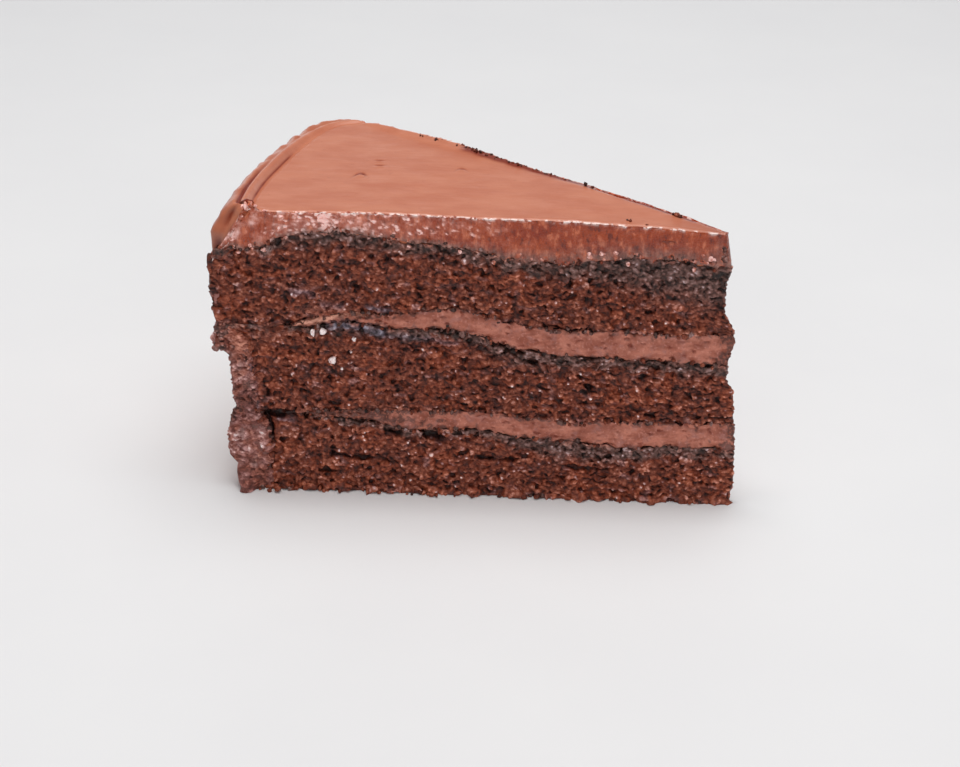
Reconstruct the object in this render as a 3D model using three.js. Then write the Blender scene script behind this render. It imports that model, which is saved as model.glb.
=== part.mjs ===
import * as THREE from 'three';

// A slice of three-layer chocolate cake. Millimetres and degrees, +Z up.
// The front cut faces -Y, the tip points to +X and the frosted rim lies at -X. Places on the slice
// are given by their radius from the cake's own axis, their turn across the wedge (0 at the front
// cut, 1 at the back cut) and their height.

// ---- Driving dimensions ----
const wedgeAngle = 35;
const tipRadius = 2;
const rimRadius = 114.8;
const cakeRims = { bottom: 107, middle: 108.7, top: 113.3 };
const gap = 0.3;

// The stack leans towards the rim: its top is set back from the tip by this much.
const lean = { amount: 4.5, from: 8, to: 58 };

// Heights along a cut, one every profileStep of the way from the tip to the rim.
const profileStep = 12;
const frostingTop = [66.4, 67.3, 67.8, 68.3, 68.3, 68.4, 68.7, 68.6, 68.4, 68.4, 68.4];
const frostingUnderside = [58.3, 59.6, 59.4, 58.1, 59.2, 61.2, 62.4, 63.8, 62.5, 59.6, 58.4];
const lowerFilling = {
  middle: [16.9, 16.8, 16.5, 16.8, 17.7, 19.0, 18.4, 19.3, 19.6, 19.6],
  thickness: [6.6, 5.8, 6.4, 4.8, 5.2, 4.4, 5.2, 2.8, 1.9, 1.8],
};
const upperFilling = {
  middle: [38.5, 38.5, 38.8, 38.9, 40.6, 43.9, 42.8, 43.5, 41.3, 41.1],
  thickness: [7.4, 6.5, 6.7, 6.3, 5.7, 5.2, 3.9, 2.4, 2.2, 2],
};

// The fillings stop short of the rim, and the cake closes over their ends.
const fillingReach = 94;
const fillingEndTaper = 6;

// Slow rise and fall of every layer between the front cut and the back cut.
const drift = { height: 0.9, turns: 2.6, length: 23 };

// Uneven relief: torn crumb on the cuts of the cake, knife drag on the cuts of the frosting.
const crumbCrag = 0.8;
const fillingCrag = 0.5;
const frostingCrag = 0.25;
const cragFadeRadius = 12;
const ripples = [
  { share: 0.35, along: 1.31, up: 0.62 },
  { share: 0.35, along: 0.79, up: 1.07 },
  { share: 0.3, along: 0.43, up: 0.47 },
];
const rowShift = 2.4;

// The frosting folds over the rim in a round shoulder with a raised bead and a groove inside it.
const shoulder = 3.6;
const innerShoulder = 1.2;
const bead = { height: 0.9, inset: 1, width: 1.3 };
const groove = { depth: 0.7, inset: 2.4, width: 0.8 };
const ridgeFade = { amount: 0.6, from: 0.5, to: 0.9 };

// Above the cake the coat leans in, less towards the back cut, and the shoulder is set back further
// where the knife went through it at the front cut and pulled the end of the bead up into a knob.
const topDraw = { inward: 2.6, from: 56, to: 67, fadeFrom: 0.35, fadeTo: 0.85 };
const frontBevel = { inward: 2.4, from: 57.5, to: 60.5, depth: 3.2 };
const knob = { height: 1.3, width: 2.1 };

// The coat down the rim swells along the rim, and waves up and down it below the top layer.
const rimSwell = { out: 0.3, turns: 4.4 };
const coatWave = { out: 1.1, length: 25, peak: 12, fadeFrom: 38, fadeTo: 46 };
const footUndercut = { inward: 0.6, height: 3 };
const coatSteps = { lowerFrom: 15.5, lowerTo: 18.5, upperFrom: 36.5, upperTo: 42 };
const cakeEdgeRound = 1.5;

// The corner between the back cut and the rim is worn away, on the cake as on its coat.
const backCorner = { setBack: 4.6, start: 0.86 };
const rimBlend = 12;

// Facets.
const radialStep = 3.5;
const rimStep = 0.9;
const fineRimDepth = 8.1;
const cakeFacets = { across: 6, up: 6 };
const fillingFacets = { across: 6, up: 2 };
const frostingFacets = { across: 12, up: 3, shoulder: 4, coat: 14 };

const colours = { crumb: 0x4a2a22, filling: 0x9a5d50, frosting: 0xb9745f };

// ---- Small functions ----
function mix(a, b, share) {
  return a + (b - a) * share;
}

function smoothStep(from, to, value) {
  const share = Math.min(1, Math.max(0, (value - from) / (to - from)));
  return share * share * (3 - 2 * share);
}

function hump(distance, width) {
  return Math.exp(-((distance / width) ** 2));
}

// A smooth curve through evenly spaced heights.
function profileAt(heights, distance) {
  const last = heights.length - 1;
  const place = Math.min(last, Math.max(0, distance / profileStep));
  const index = Math.min(last - 1, Math.floor(place));
  const share = place - index;
  const start = heights[index];
  const end = heights[index + 1];
  const slopeIn = (end - heights[Math.max(0, index - 1)]) / 2;
  const slopeOut = (heights[Math.min(last, index + 2)] - start) / 2;
  const square = share * share;
  const cube = square * share;
  return start * (2 * cube - 3 * square + 1) + slopeIn * (cube - 2 * square + share)
    + end * (3 * square - 2 * cube) + slopeOut * (cube - square);
}

function driftAt(radius, turn) {
  return drift.height * Math.sin(drift.turns * turn) * Math.sin(radius / drift.length);
}

// Crossed ripples, about 5 to 15 mm long and different for each seed, between -1 and 1.
function crag(along, up, seed) {
  let sum = 0;
  for (const ripple of ripples) {
    const row = rowShift * Math.sin(ripple.up * up + seed * (1 + ripple.along));
    sum += ripple.share * Math.sin(ripple.along * along + seed * (2 + ripple.up) + row);
  }
  return sum;
}

// ---- The slice's frame ----
function wedgePoint(radius, turn, height) {
  const angle = THREE.MathUtils.degToRad(turn * wedgeAngle);
  const setBack = lean.amount * smoothStep(lean.from, lean.to, height);
  return new THREE.Vector3(-radius * Math.cos(angle) - setBack, radius * Math.sin(angle), height);
}

// Moves a point of a cut outwards by its relief; other points stay.
function onCut(point, turn, radius, depth, seed) {
  if (turn > 0 && turn < 1) return point;
  const side = turn === 0 ? -1 : 1;
  const angle = THREE.MathUtils.degToRad(turn * wedgeAngle);
  const fade = smoothStep(tipRadius, cragFadeRadius, radius);
  const out = side * depth * fade * crag(radius, point.z, seed + turn);
  return point.add(new THREE.Vector3(Math.sin(angle) * out, Math.cos(angle) * out, 0));
}

// side is -1 for the underside of the filling and 1 for its top.
function fillingSurface(filling, side, radius, turn) {
  const closing = 1 - smoothStep(fillingReach, fillingReach + fillingEndTaper, radius);
  const thickness = profileAt(filling.thickness, radius - tipRadius) * closing;
  const middle = profileAt(filling.middle, radius - tipRadius);
  return middle + driftAt(radius, turn) + side * thickness / 2;
}

function frostingUndersideAt(radius, turn) {
  return profileAt(frostingUnderside, radius - tipRadius) + driftAt(radius, turn);
}

// Draws the outermost radii in by setBack and leaves the rest of the wedge alone.
function drawIn(radius, end, setBack) {
  return radius - setBack * (radius / end) ** rimBlend;
}

function cornerSetBack(turn) {
  const share = Math.max(0, (turn - backCorner.start) / (1 - backCorner.start));
  return backCorner.setBack * share ** 2;
}

function rimAt(turn) {
  return rimRadius + rimSwell.out * Math.sin(rimSwell.turns * turn) ** 2 - cornerSetBack(turn);
}

// 1 on the front cut, falling to 0 where its bevel ends.
function frontShare(turn) {
  const fromFront = rimRadius * Math.sin(THREE.MathUtils.degToRad(turn * wedgeAngle));
  return 1 - smoothStep(0, frontBevel.depth, fromFront);
}

// How far the outside of the frosting is drawn in above the cake.
function drawnIn(turn, height) {
  const lean = topDraw.inward * (1 - smoothStep(topDraw.fadeFrom, topDraw.fadeTo, turn));
  return lean * smoothStep(topDraw.from, topDraw.to, height)
    + frontBevel.inward * frontShare(turn) * smoothStep(frontBevel.from, frontBevel.to, height);
}

// The radius at which the top surface ends and the shoulder starts.
function shoulderStartAt(turn) {
  return rimAt(turn) - drawnIn(turn, topDraw.to) - shoulder;
}

function coatOuterRadius(turn, height) {
  const phase = 2 * Math.PI * (height - coatWave.peak) / coatWave.length;
  const fade = 1 - smoothStep(coatWave.fadeFrom, coatWave.fadeTo, height);
  const foot = footUndercut.inward * (1 - smoothStep(0, footUndercut.height, height));
  const wave = coatWave.out * Math.cos(phase + Math.PI * turn) * fade;
  return rimAt(turn) - drawnIn(turn, height) + wave - foot;
}

// The coat's inner face keeps its gap to each cake layer's rim and steps out between them.
function coatInnerRadius(turn, height) {
  const overLower = smoothStep(coatSteps.lowerFrom, coatSteps.lowerTo, height);
  const overUpper = smoothStep(coatSteps.upperFrom, coatSteps.upperTo, height);
  const lower = mix(cakeRims.bottom, cakeRims.middle, overLower);
  return mix(lower, cakeRims.top, overUpper) + gap - cornerSetBack(turn);
}

function frostingTopAt(radius, turn) {
  const inset = shoulderStartAt(turn) - radius;
  const ridge = bead.height * hump(inset - bead.inset, bead.width);
  const hollow = groove.depth * hump(inset - groove.inset, groove.width);
  const fade = 1 - ridgeFade.amount * smoothStep(ridgeFade.from, ridgeFade.to, turn);
  const pulledUp = knob.height * hump(inset - bead.inset, knob.width) * frontShare(turn);
  return profileAt(frostingTop, radius - tipRadius) + (ridge - hollow) * fade + pulledUp;
}

// ---- Closed solids ----
// A block of steps (along, across, up) whose surface points come from place(i, j, k).
function blockGeometry(steps, place) {
  const positions = [];
  const indices = [];
  const known = new Map();

  function vertex(cell) {
    const key = cell.join();
    if (!known.has(key)) {
      known.set(key, positions.length / 3);
      positions.push(...place(...cell).toArray());
    }
    return known.get(key);
  }

  for (let axis = 0; axis < 3; axis += 1) {
    const first = (axis + 1) % 3;
    const second = (axis + 2) % 3;
    for (const level of [0, steps[axis]]) {
      for (let i = 0; i < steps[first]; i += 1) {
        for (let j = 0; j < steps[second]; j += 1) {
          const corners = [[i, j], [i + 1, j], [i + 1, j + 1], [i, j + 1]].map(([a, b]) => {
            const cell = [0, 0, 0];
            cell[axis] = level;
            cell[first] = a;
            cell[second] = b;
            return vertex(cell);
          });
          if (level > 0) corners.reverse();
          const [a, b, c, d] = corners;
          indices.push(a, b, c, a, c, d);
        }
      }
    }
  }
  const geometry = new THREE.BufferGeometry();
  geometry.setAttribute('position', new THREE.Float32BufferAttribute(positions, 3));
  geometry.setIndex(indices);
  geometry.computeVertexNormals();
  return geometry;
}

function piece(name, colour, roughness, geometry) {
  const material = new THREE.MeshStandardMaterial({ color: colour, roughness, metalness: 0, flatShading: true });
  const mesh = new THREE.Mesh(geometry, material);
  mesh.name = name;
  return mesh;
}

// Radii shared by all layers, so that faces which meet have the same facets.
function radiiUpTo(end) {
  const count = Math.round((end - tipRadius) / radialStep);
  const radii = [];
  for (let i = 0; i < count; i += 1) radii.push(tipRadius + i * radialStep);
  radii.push(end);
  return radii;
}

// A layer between two surfaces, from the tip to its end. wear(turn, share) draws its end in.
function layer({ end, underside, top, facets, wear, relief, seed }) {
  const radii = radiiUpTo(end);
  return blockGeometry([radii.length - 1, facets.across, facets.up], (i, j, k) => {
    const turn = j / facets.across;
    const share = k / facets.up;
    const radius = drawIn(radii[i], end, wear(turn, share));
    const height = mix(underside(radius, turn), top(radius, turn), share);
    return onCut(wedgePoint(radius, turn, height), turn, radius, relief, seed);
  });
}

function cakeLayer(end, underside, top, seed) {
  const wear = (turn, share) => cakeEdgeRound * (2 * share - 1) ** 4 + cornerSetBack(turn);
  return layer({ end, underside, top, facets: cakeFacets, wear, relief: crumbCrag, seed });
}

function fillingLayer(filling, seed) {
  const underside = (radius, turn) => fillingSurface(filling, -1, radius, turn) + gap / 2;
  const top = (radius, turn) => fillingSurface(filling, 1, radius, turn) - gap / 2;
  const wear = () => 0;
  return layer({ end: fillingReach, underside, top, facets: fillingFacets, wear, relief: fillingCrag, seed });
}

function underFilling(filling) {
  return (radius, turn) => fillingSurface(filling, -1, radius, turn) - gap / 2;
}

function overFilling(filling) {
  return (radius, turn) => fillingSurface(filling, 1, radius, turn) + gap / 2;
}

function underFrosting(radius, turn) {
  return frostingUndersideAt(radius, turn) - gap / 2;
}

// The slab's radii are closer together near the rim, where the bead and the groove run.
function slabRadiiUpTo(end) {
  const radii = radiiUpTo(end - fineRimDepth);
  const fineSteps = Math.round(fineRimDepth / rimStep);
  for (let i = 1; i <= fineSteps; i += 1) radii.push(end - fineRimDepth * (1 - i / fineSteps));
  return radii;
}

// Turns across the frosting: even, with one more where the bevel of the front cut ends.
function frostingTurns() {
  const bevelEnd = frontBevel.depth / (rimRadius * THREE.MathUtils.degToRad(wedgeAngle));
  const turns = [0, bevelEnd];
  for (let j = 1; j <= frostingFacets.across; j += 1) turns.push(j / frostingFacets.across);
  return turns;
}

// One solid: the slab on top, its round shoulder and the coat down the rim to the base.
function frosting() {
  const shoulderStart = rimRadius - shoulder;
  const slabRadii = slabRadiiUpTo(shoulderStart);
  const slabSteps = slabRadii.length - 1;
  const steps = slabSteps + frostingFacets.shoulder + frostingFacets.coat;
  const turns = frostingTurns();
  const innerEndAt = (turn) => coatInnerRadius(turn, frostingUnderside.at(-1)) - innerShoulder;

  // A place along the slab has a point on its underside and one on its top.
  function slabSection(i, turn) {
    const innerRadius = drawIn(slabRadii[i], shoulderStart, shoulderStart - innerEndAt(turn));
    const outerRadius = drawIn(slabRadii[i], shoulderStart, shoulderStart - shoulderStartAt(turn));
    return {
      inner: [innerRadius, frostingUndersideAt(innerRadius, turn) + gap / 2],
      outer: [outerRadius, frostingTopAt(outerRadius, turn)],
    };
  }

  // A place along the shoulder or the coat has a point on the inner face and one on the outer face.
  function coatSection(i, turn) {
    const bend = Math.min(1, (i - slabSteps) / frostingFacets.shoulder) * Math.PI / 2;
    const drop = Math.max(0, (i - slabSteps - frostingFacets.shoulder) / frostingFacets.coat);
    const outerTop = frostingTopAt(shoulderStartAt(turn), turn) - shoulder;
    const outerHeight = (outerTop + shoulder * Math.cos(bend)) * (1 - drop);
    const innerTop = frostingUndersideAt(innerEndAt(turn), turn) + gap / 2 - innerShoulder;
    const innerHeight = (innerTop + innerShoulder * Math.cos(bend)) * (1 - drop);
    const outward = Math.sin(bend) - 1;
    return {
      inner: [coatInnerRadius(turn, innerHeight) + innerShoulder * outward, innerHeight],
      outer: [coatOuterRadius(turn, outerHeight) + shoulder * outward, outerHeight],
    };
  }

  return blockGeometry([steps, turns.length - 1, frostingFacets.up], (i, j, k) => {
    const turn = turns[j];
    const { inner, outer } = i <= slabSteps ? slabSection(i, turn) : coatSection(i, turn);
    const radius = mix(inner[0], outer[0], k / frostingFacets.up);
    const height = mix(inner[1], outer[1], k / frostingFacets.up);
    return onCut(wedgePoint(radius, turn, height), turn, radius, frostingCrag, 6);
  });
}

// ---- The slice ----
const cakeBottom = cakeLayer(cakeRims.bottom, () => 0, underFilling(lowerFilling), 1);
const cakeMiddle = cakeLayer(cakeRims.middle, overFilling(lowerFilling), underFilling(upperFilling), 2);
const cakeTop = cakeLayer(cakeRims.top, overFilling(upperFilling), underFrosting, 3);

const slice = new THREE.Group();
slice.add(
  piece('cake_bottom', colours.crumb, 0.95, cakeBottom),
  piece('filling_lower', colours.filling, 0.6, fillingLayer(lowerFilling, 4)),
  piece('cake_middle', colours.crumb, 0.95, cakeMiddle),
  piece('filling_upper', colours.filling, 0.6, fillingLayer(upperFilling, 5)),
  piece('cake_top', colours.crumb, 0.95, cakeTop),
  piece('frosting', colours.frosting, 0.45, frosting()),
);

// The origin is the middle of the bounding box, at the height of the base.
const bounds = new THREE.Box3().setFromObject(slice);
const middle = bounds.getCenter(new THREE.Vector3());
slice.position.set(-middle.x, -middle.y, -bounds.min.z);

export default slice;
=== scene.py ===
"""The looks of a slice of three-layer chocolate cake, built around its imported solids.

Forms are worked out in millimetres in the slice's own frame: a radius from the cake's axis, a turn
across the wedge (0 at the front cut, 1 at the back cut) and a height. Blender's objects are in metres.
"""
import itertools
import math

import bmesh
import bpy
import numpy as np
from mathutils import Matrix, Vector


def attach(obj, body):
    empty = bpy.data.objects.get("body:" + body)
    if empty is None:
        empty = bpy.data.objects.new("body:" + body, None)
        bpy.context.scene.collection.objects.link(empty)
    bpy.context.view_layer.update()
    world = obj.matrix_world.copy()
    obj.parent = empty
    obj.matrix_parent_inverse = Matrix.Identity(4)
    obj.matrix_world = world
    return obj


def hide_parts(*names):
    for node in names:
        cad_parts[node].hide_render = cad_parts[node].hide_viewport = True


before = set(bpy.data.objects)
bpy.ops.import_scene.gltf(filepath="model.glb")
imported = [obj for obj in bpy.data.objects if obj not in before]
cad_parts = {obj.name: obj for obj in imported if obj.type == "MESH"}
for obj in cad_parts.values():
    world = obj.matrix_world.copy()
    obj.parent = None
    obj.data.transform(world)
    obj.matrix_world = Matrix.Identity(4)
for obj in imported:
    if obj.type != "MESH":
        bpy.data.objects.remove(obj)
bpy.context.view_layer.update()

MM = 0.001

# ---- The slice's form, in millimetres, as in its solids ----
wedge_angle = math.radians(35)
tip_radius = 2.0
rim_radius = 114.8
cake_rims = {"cake_bottom": 107.0, "cake_middle": 108.7, "cake_top": 113.3}
lean_amount, lean_from, lean_to = 4.5, 8.0, 58.0

# Heights along a cut, one every profile_step of the way from the tip to the rim.
profile_step = 12.0
frosting_top = [66.4, 67.3, 67.8, 68.3, 68.3, 68.4, 68.7, 68.6, 68.4, 68.4, 68.4]
frosting_underside = [58.3, 59.6, 59.4, 58.1, 59.2, 61.2, 62.4, 63.8, 62.5, 59.6, 58.4]
# "dirty" is how much crumb is smeared into a filling towards the rim, "end_dirty" how much more near its end.
fillings = {
    "filling_lower": {
        "middle": [16.9, 16.8, 16.5, 16.8, 17.7, 19.0, 18.4, 19.3, 19.6, 19.6],
        "thickness": [6.6, 5.8, 6.4, 4.8, 5.2, 4.4, 5.2, 2.8, 1.9, 1.8],
        "ragged_seed": 41, "dirty": 0.95, "end_dirty": 0,
    },
    "filling_upper": {
        "middle": [38.5, 38.5, 38.8, 38.9, 40.6, 43.9, 42.8, 43.5, 41.3, 41.1],
        "thickness": [7.4, 6.5, 6.7, 6.3, 5.7, 5.2, 3.9, 2.4, 2.2, 2],
        "ragged_seed": 51, "dirty": 0.1, "end_dirty": 0.35,
    },
}
filling_reach, filling_end_taper = 94.0, 6.0
drift_height, drift_turns, drift_length = 0.9, 2.6, 23.0

# The low waves in the two cuts of each solid: their depth and their seed.
crags = {
    "cake_bottom": (0.8, 1), "cake_middle": (0.8, 2), "cake_top": (0.8, 3),
    "filling_lower": (0.5, 4), "filling_upper": (0.5, 5), "frosting": (0.25, 6),
}
crag_fade_radius = 12.0
ripples = [(0.35, 1.31, 0.62), (0.35, 0.79, 1.07), (0.3, 0.43, 0.47)]
row_shift = 2.4

shoulder, inner_shoulder = 3.6, 1.2
bead_height, bead_inset, bead_width = 0.9, 1.0, 1.3
groove_depth, groove_inset, groove_width = 0.7, 2.4, 0.8
ridge_fade, ridge_fade_from, ridge_fade_to = 0.6, 0.5, 0.9
top_draw, top_draw_from, top_draw_to = 2.6, 56.0, 67.0
top_draw_fade_from, top_draw_fade_to = 0.35, 0.85
front_bevel, front_bevel_from, front_bevel_to, front_bevel_depth = 2.4, 57.5, 60.5, 3.2
knob_height, knob_width = 1.3, 2.1
rim_swell, rim_swell_turns = 0.3, 4.4
coat_wave, coat_wave_length, coat_wave_peak = 1.1, 25.0, 12.0
coat_wave_fade_from, coat_wave_fade_to = 38.0, 46.0
foot_undercut, foot_height = 0.6, 3.0
coat_steps = {"lower_from": 15.5, "lower_to": 18.5, "upper_from": 36.5, "upper_to": 42.0}
corner_set_back, corner_start = 4.6, 0.86
rim_blend = 12
gap = 0.3

# ---- Finer form, which only the looks have ----
grid = 0.225
cut_fade = 3.0
ragged_depth = 0.75
hanging_depth = 0.8
across_lines = [0, 0.8, 3, 8, 18]
# The frosting hangs lower where the top layer has no crust.
sag_depth, sag_start, sag_end = 1.1, (100.3, 102.3), (107.5, 110.5)

# How far the crumb of the tip stands out beyond its plain edge, at heights going up.
tip_heights = [0, 4, 20, 25, 29, 31, 37, 40, 43, 47, 54, 57, 60, 66, 70]
tip_outs = [-0.2, 0.5, 0.45, 0.4, 0.3, -0.7, 0.4, 1.8, 1.7, -0.1, 0.2, 1.2, 0.8, -0.3, -0.3]
tip_reach = 6.0

# How far the coat stands out beyond its plain wave beside the front cut, at heights going up.
coat_heights = [0, 3.8, 6.5, 7.8, 10, 16.4, 18.5, 20.6, 23, 26, 30, 33, 34.4, 35.2, 38, 42]
coat_outs = [0.7, 0.8, -0.4, 1.1, 0.8, 0.6, 0.4, -0.3, 0.4, 0.3, -0.8, -2.0, -1.5, 0.8, 0.6, 0]
coat_reach = 5.0
shoulder_cut_heights, shoulder_cut_outs, shoulder_cut_reach = [54, 59, 64, 68], [0, -0.9, -1.0, -1.9], 2.2

# Where the coat's foot is squeezed out in front of the cut.
foot_blob_radius, foot_blob_width, foot_blob_height, foot_blob_out = 113.0, 2.4, 3.2, 3.4

# Thickness of the dark moist crust at the top of each cake layer, one every profile_step.
crusts = {
    "cake_top": [12, 11, 7, 4, 3.5, 3.2, 3.4, 3.8, 3.5, 2.5, 2.5],
    "cake_middle": [3.5, 3.5, 3, 4.2, 5, 2.2, 3.4, 3, 1.2, 1, 1],
    "cake_bottom": [3, 3, 4, 6, 3.5, 1.5, 2, 1.5, 1, 1, 1],
}
# The radius and the reach where the top layer has no such crust.
bare_radius, bare_reach = 107.2, 3.6

# Streaks of pale cream and of cool grey crumb on the front cut, as strokes: from radius and height, to
# radius and height, half width, strength.
cream_streaks = [
    (97.0, 41.5, 92.8, 42.3, 0.4, 1.3), (92.8, 42.3, 88.0, 44.0, 0.45, 1.4),
    (86.5, 44.6, 83.0, 45.0, 0.9, 0.7), (106.8, 38.2, 104.0, 39.0, 0.7, 0.7),
    (102.0, 38.6, 99.0, 39.4, 0.6, 0.5), (102.0, 51.5, 97.0, 50.2, 0.6, 0.5),
    (95.5, 44.4, 88.5, 46.0, 1.4, 0.6),
]
cool_streaks = [
    (90.0, 41.4, 84.5, 41.6, 0.9, 1.2), (84.5, 41.6, 78.4, 39.9, 0.95, 1.3),
    (91.0, 46.2, 86.6, 46.4, 0.7, 0.7), (81.0, 46.0, 76.0, 45.4, 0.5, 0.9),
    (97.5, 49.6, 93.0, 48.8, 0.8, 0.6), (109.6, 31.0, 109.4, 21.0, 0.9, 0.8),
    (77.0, 39.4, 62.0, 38.2, 0.7, 0.5), (104.5, 17.8, 101.5, 17.4, 0.6, 0.6),
]

# Crevices in the front cut, as strokes whose strength is their depth; the crumb in them is also painted dark,
# as shade in them.
front_crevices = [
    (79.5, 15.6, 77.2, 15.0, 0.6, 1.6), (71.5, 14.7, 67.5, 14.2, 0.55, 1.6),
    (106.4, 24.7, 106.2, 24.0, 0.6, 1.5), (50.6, 36.9, 48.2, 36.6, 0.6, 1.6),
    (46.0, 34.1, 44.5, 33.7, 0.5, 1.4), (33.8, 28.3, 33.3, 27.9, 0.55, 1.5),
    (42.0, 42.6, 37.5, 41.7, 0.4, 1.6), (37.5, 41.7, 32.0, 42.2, 0.55, 1.8),
    (107.4, 19.2, 101.0, 18.7, 0.6, 2.0), (107.0, 18.5, 106.6, 12.0, 0.6, 1.8),
    (93.0, 8.9, 85.0, 8.4, 0.4, 1.1), (85.0, 8.4, 78.0, 7.4, 0.4, 1.1),
    (60.0, 9.8, 52.0, 8.8, 0.4, 1.1), (40.0, 7.8, 30.0, 7.6, 0.4, 1.0),
    (47.0, 4.6, 40.0, 5.0, 0.35, 0.8), (96.0, 4.6, 90.0, 4.9, 0.4, 0.9),
]


# ---- Small functions ----
def mix(a, b, share):
    return a + (b - a) * share


def smooth_step(low, high, value):
    share = np.clip((value - low) / (high - low), 0, 1)
    return share * share * (3 - 2 * share)


def hump(distance, width):
    return np.exp(-((distance / width) ** 2))


def profile_at(heights, distance):
    """A smooth curve through evenly spaced heights."""
    heights = np.asarray(heights, float)
    last = len(heights) - 1
    place = np.clip(distance / profile_step, 0, last)
    index = np.minimum(last - 1, np.floor(place)).astype(int)
    share = place - index
    start, end = heights[index], heights[index + 1]
    slope_in = (end - heights[np.maximum(0, index - 1)]) / 2
    slope_out = (heights[np.minimum(last, index + 2)] - start) / 2
    square, cube = share**2, share**3
    rising = start * (2 * cube - 3 * square + 1) + slope_in * (cube - 2 * square + share)
    return rising + end * (3 * square - 2 * cube) + slope_out * (cube - square)


# ---- Noise in space, the same at every run ----
draw = np.random.default_rng(11)
shuffle = draw.permutation(256)
slopes = draw.normal(size=(256, 3))
slopes /= np.linalg.norm(slopes, axis=1, keepdims=True)
jitters = draw.random((256, 3))


def lattice_pick(corner, seed):
    first = shuffle[(corner[:, 0] + 37 * seed) & 255]
    second = shuffle[(first + corner[:, 1]) & 255]
    return shuffle[(second + corner[:, 2] + seed) & 255]


def noise(points, size, seed):
    """Smooth noise from about -1 to 1, with waves about size millimetres long."""
    scaled = points / np.asarray(size, float)
    cell = np.floor(scaled).astype(int)
    offset = scaled - cell
    blend = offset**3 * (offset * (offset * 6 - 15) + 10)
    total = np.zeros(len(points))
    for corner in itertools.product((0, 1), repeat=3):
        corner = np.array(corner)
        slope = slopes[lattice_pick(cell + corner, seed)]
        weight = np.prod(np.where(corner == 1, blend, 1 - blend), axis=1)
        total += weight * np.sum(slope * (offset - corner), axis=1)
    return 1.6 * total


def warped(points, size, seed, amount):
    """Points moved about by noise, by about an amount."""
    return points + amount * np.stack([noise(points, size, seed + axis) for axis in range(3)], axis=1)


def cell_distance(points, size, seed):
    """Distance to the nearest of scattered middles, in cells, and that middle's own number from 0 to 1."""
    scaled = points / np.asarray(size, float)
    cell = np.floor(scaled).astype(int)
    nearest = np.full(len(points), 9.0)
    number = np.zeros(len(points))
    for shift in itertools.product((-1, 0, 1), repeat=3):
        corner = cell + np.array(shift)
        pick = lattice_pick(corner, seed)
        distance = np.linalg.norm(corner + jitters[pick] - scaled, axis=1)
        closer = distance < nearest
        nearest = np.where(closer, distance, nearest)
        number = np.where(closer, pick / 255, number)
    return nearest, number


# ---- The slice's surfaces, as in its solids ----
def wedge_point(radius, turn, height):
    angle = turn * wedge_angle
    set_back = lean_amount * smooth_step(lean_from, lean_to, height)
    return np.stack([-radius * np.cos(angle) - set_back, radius * np.sin(angle), height], axis=1)


def drift_at(radius, turn):
    return drift_height * np.sin(drift_turns * turn) * np.sin(radius / drift_length)


def crag(along, up, seed):
    total = 0
    for share, along_rate, up_rate in ripples:
        row = row_shift * np.sin(up_rate * up + seed * (1 + along_rate))
        total = total + share * np.sin(along_rate * along + seed * (2 + up_rate) + row)
    return total


def from_cut(radius, turn, cut):
    """Distance in from the front cut (0) or the back cut (1)."""
    return radius * np.sin(np.abs(turn - cut) * wedge_angle)


def cut_direction(cut):
    if cut == 0:
        return np.array([0.0, -1.0, 0.0])
    return np.array([math.sin(wedge_angle), math.cos(wedge_angle), 0.0])


def push_cuts(points, radius, turn, solid):
    """Moves the two cuts outwards by the low waves of a solid."""
    depth, seed = crags[solid]
    fade = smooth_step(tip_radius, crag_fade_radius, radius)
    moved = points.copy()
    for cut in (0, 1):
        near = 1 - smooth_step(0, cut_fade, from_cut(radius, turn, cut))
        out = depth * fade * near * crag(radius, points[:, 2], seed + cut)
        moved += out[:, None] * cut_direction(cut)
    return moved


def ragged(radius, turn, seed):
    """Uneven edge between two layers."""
    flat = wedge_point(radius, turn, np.zeros_like(radius))
    flat[:, 2] = seed
    return ragged_depth * (0.6 * noise(flat, 2.6, seed) + 0.45 * noise(flat, 1.0, seed + 1))


def filling_surface(name, side, radius, turn):
    """Height of a filling's underside (-1) or upper side (1)."""
    filling = fillings[name]
    closing = 1 - smooth_step(filling_reach, filling_reach + filling_end_taper, radius)
    thickness = profile_at(filling["thickness"], radius - tip_radius) * closing
    middle = profile_at(filling["middle"], radius - tip_radius)
    uneven = ragged(radius, turn, filling["ragged_seed"] + side) * closing
    return middle + drift_at(radius, turn) + side * thickness / 2 + uneven


def frosting_underside_at(radius, turn):
    plain = profile_at(frosting_underside, radius - tip_radius) + drift_at(radius, turn)
    plain = plain - sag_depth * smooth_step(*sag_start, radius) * (1 - smooth_step(*sag_end, radius))
    flat = wedge_point(radius, turn, np.zeros_like(radius))
    hanging = hanging_depth * smooth_step(0.2, 0.6, noise(flat, 1.9, 67))
    return plain + ragged(radius, turn, 61) - hanging


def draw_in(radius, end, set_back):
    return radius - set_back * (radius / end) ** rim_blend


def corner_set_back_at(turn):
    share = np.maximum(0, (turn - corner_start) / (1 - corner_start))
    return corner_set_back * share**2


def rim_at(turn):
    return rim_radius + rim_swell * np.sin(rim_swell_turns * turn) ** 2 - corner_set_back_at(turn)


def front_share(turn):
    """1 on the front cut, falling to 0 where its bevel ends."""
    return 1 - smooth_step(0, front_bevel_depth, rim_radius * np.sin(turn * wedge_angle))


def drawn_in(turn, height):
    lean = top_draw * (1 - smooth_step(top_draw_fade_from, top_draw_fade_to, turn))
    bevel = front_bevel * front_share(turn)
    return (lean * smooth_step(top_draw_from, top_draw_to, height)
            + bevel * smooth_step(front_bevel_from, front_bevel_to, height))


def shoulder_start_at(turn):
    return rim_at(turn) - drawn_in(turn, top_draw_to) - shoulder


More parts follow.
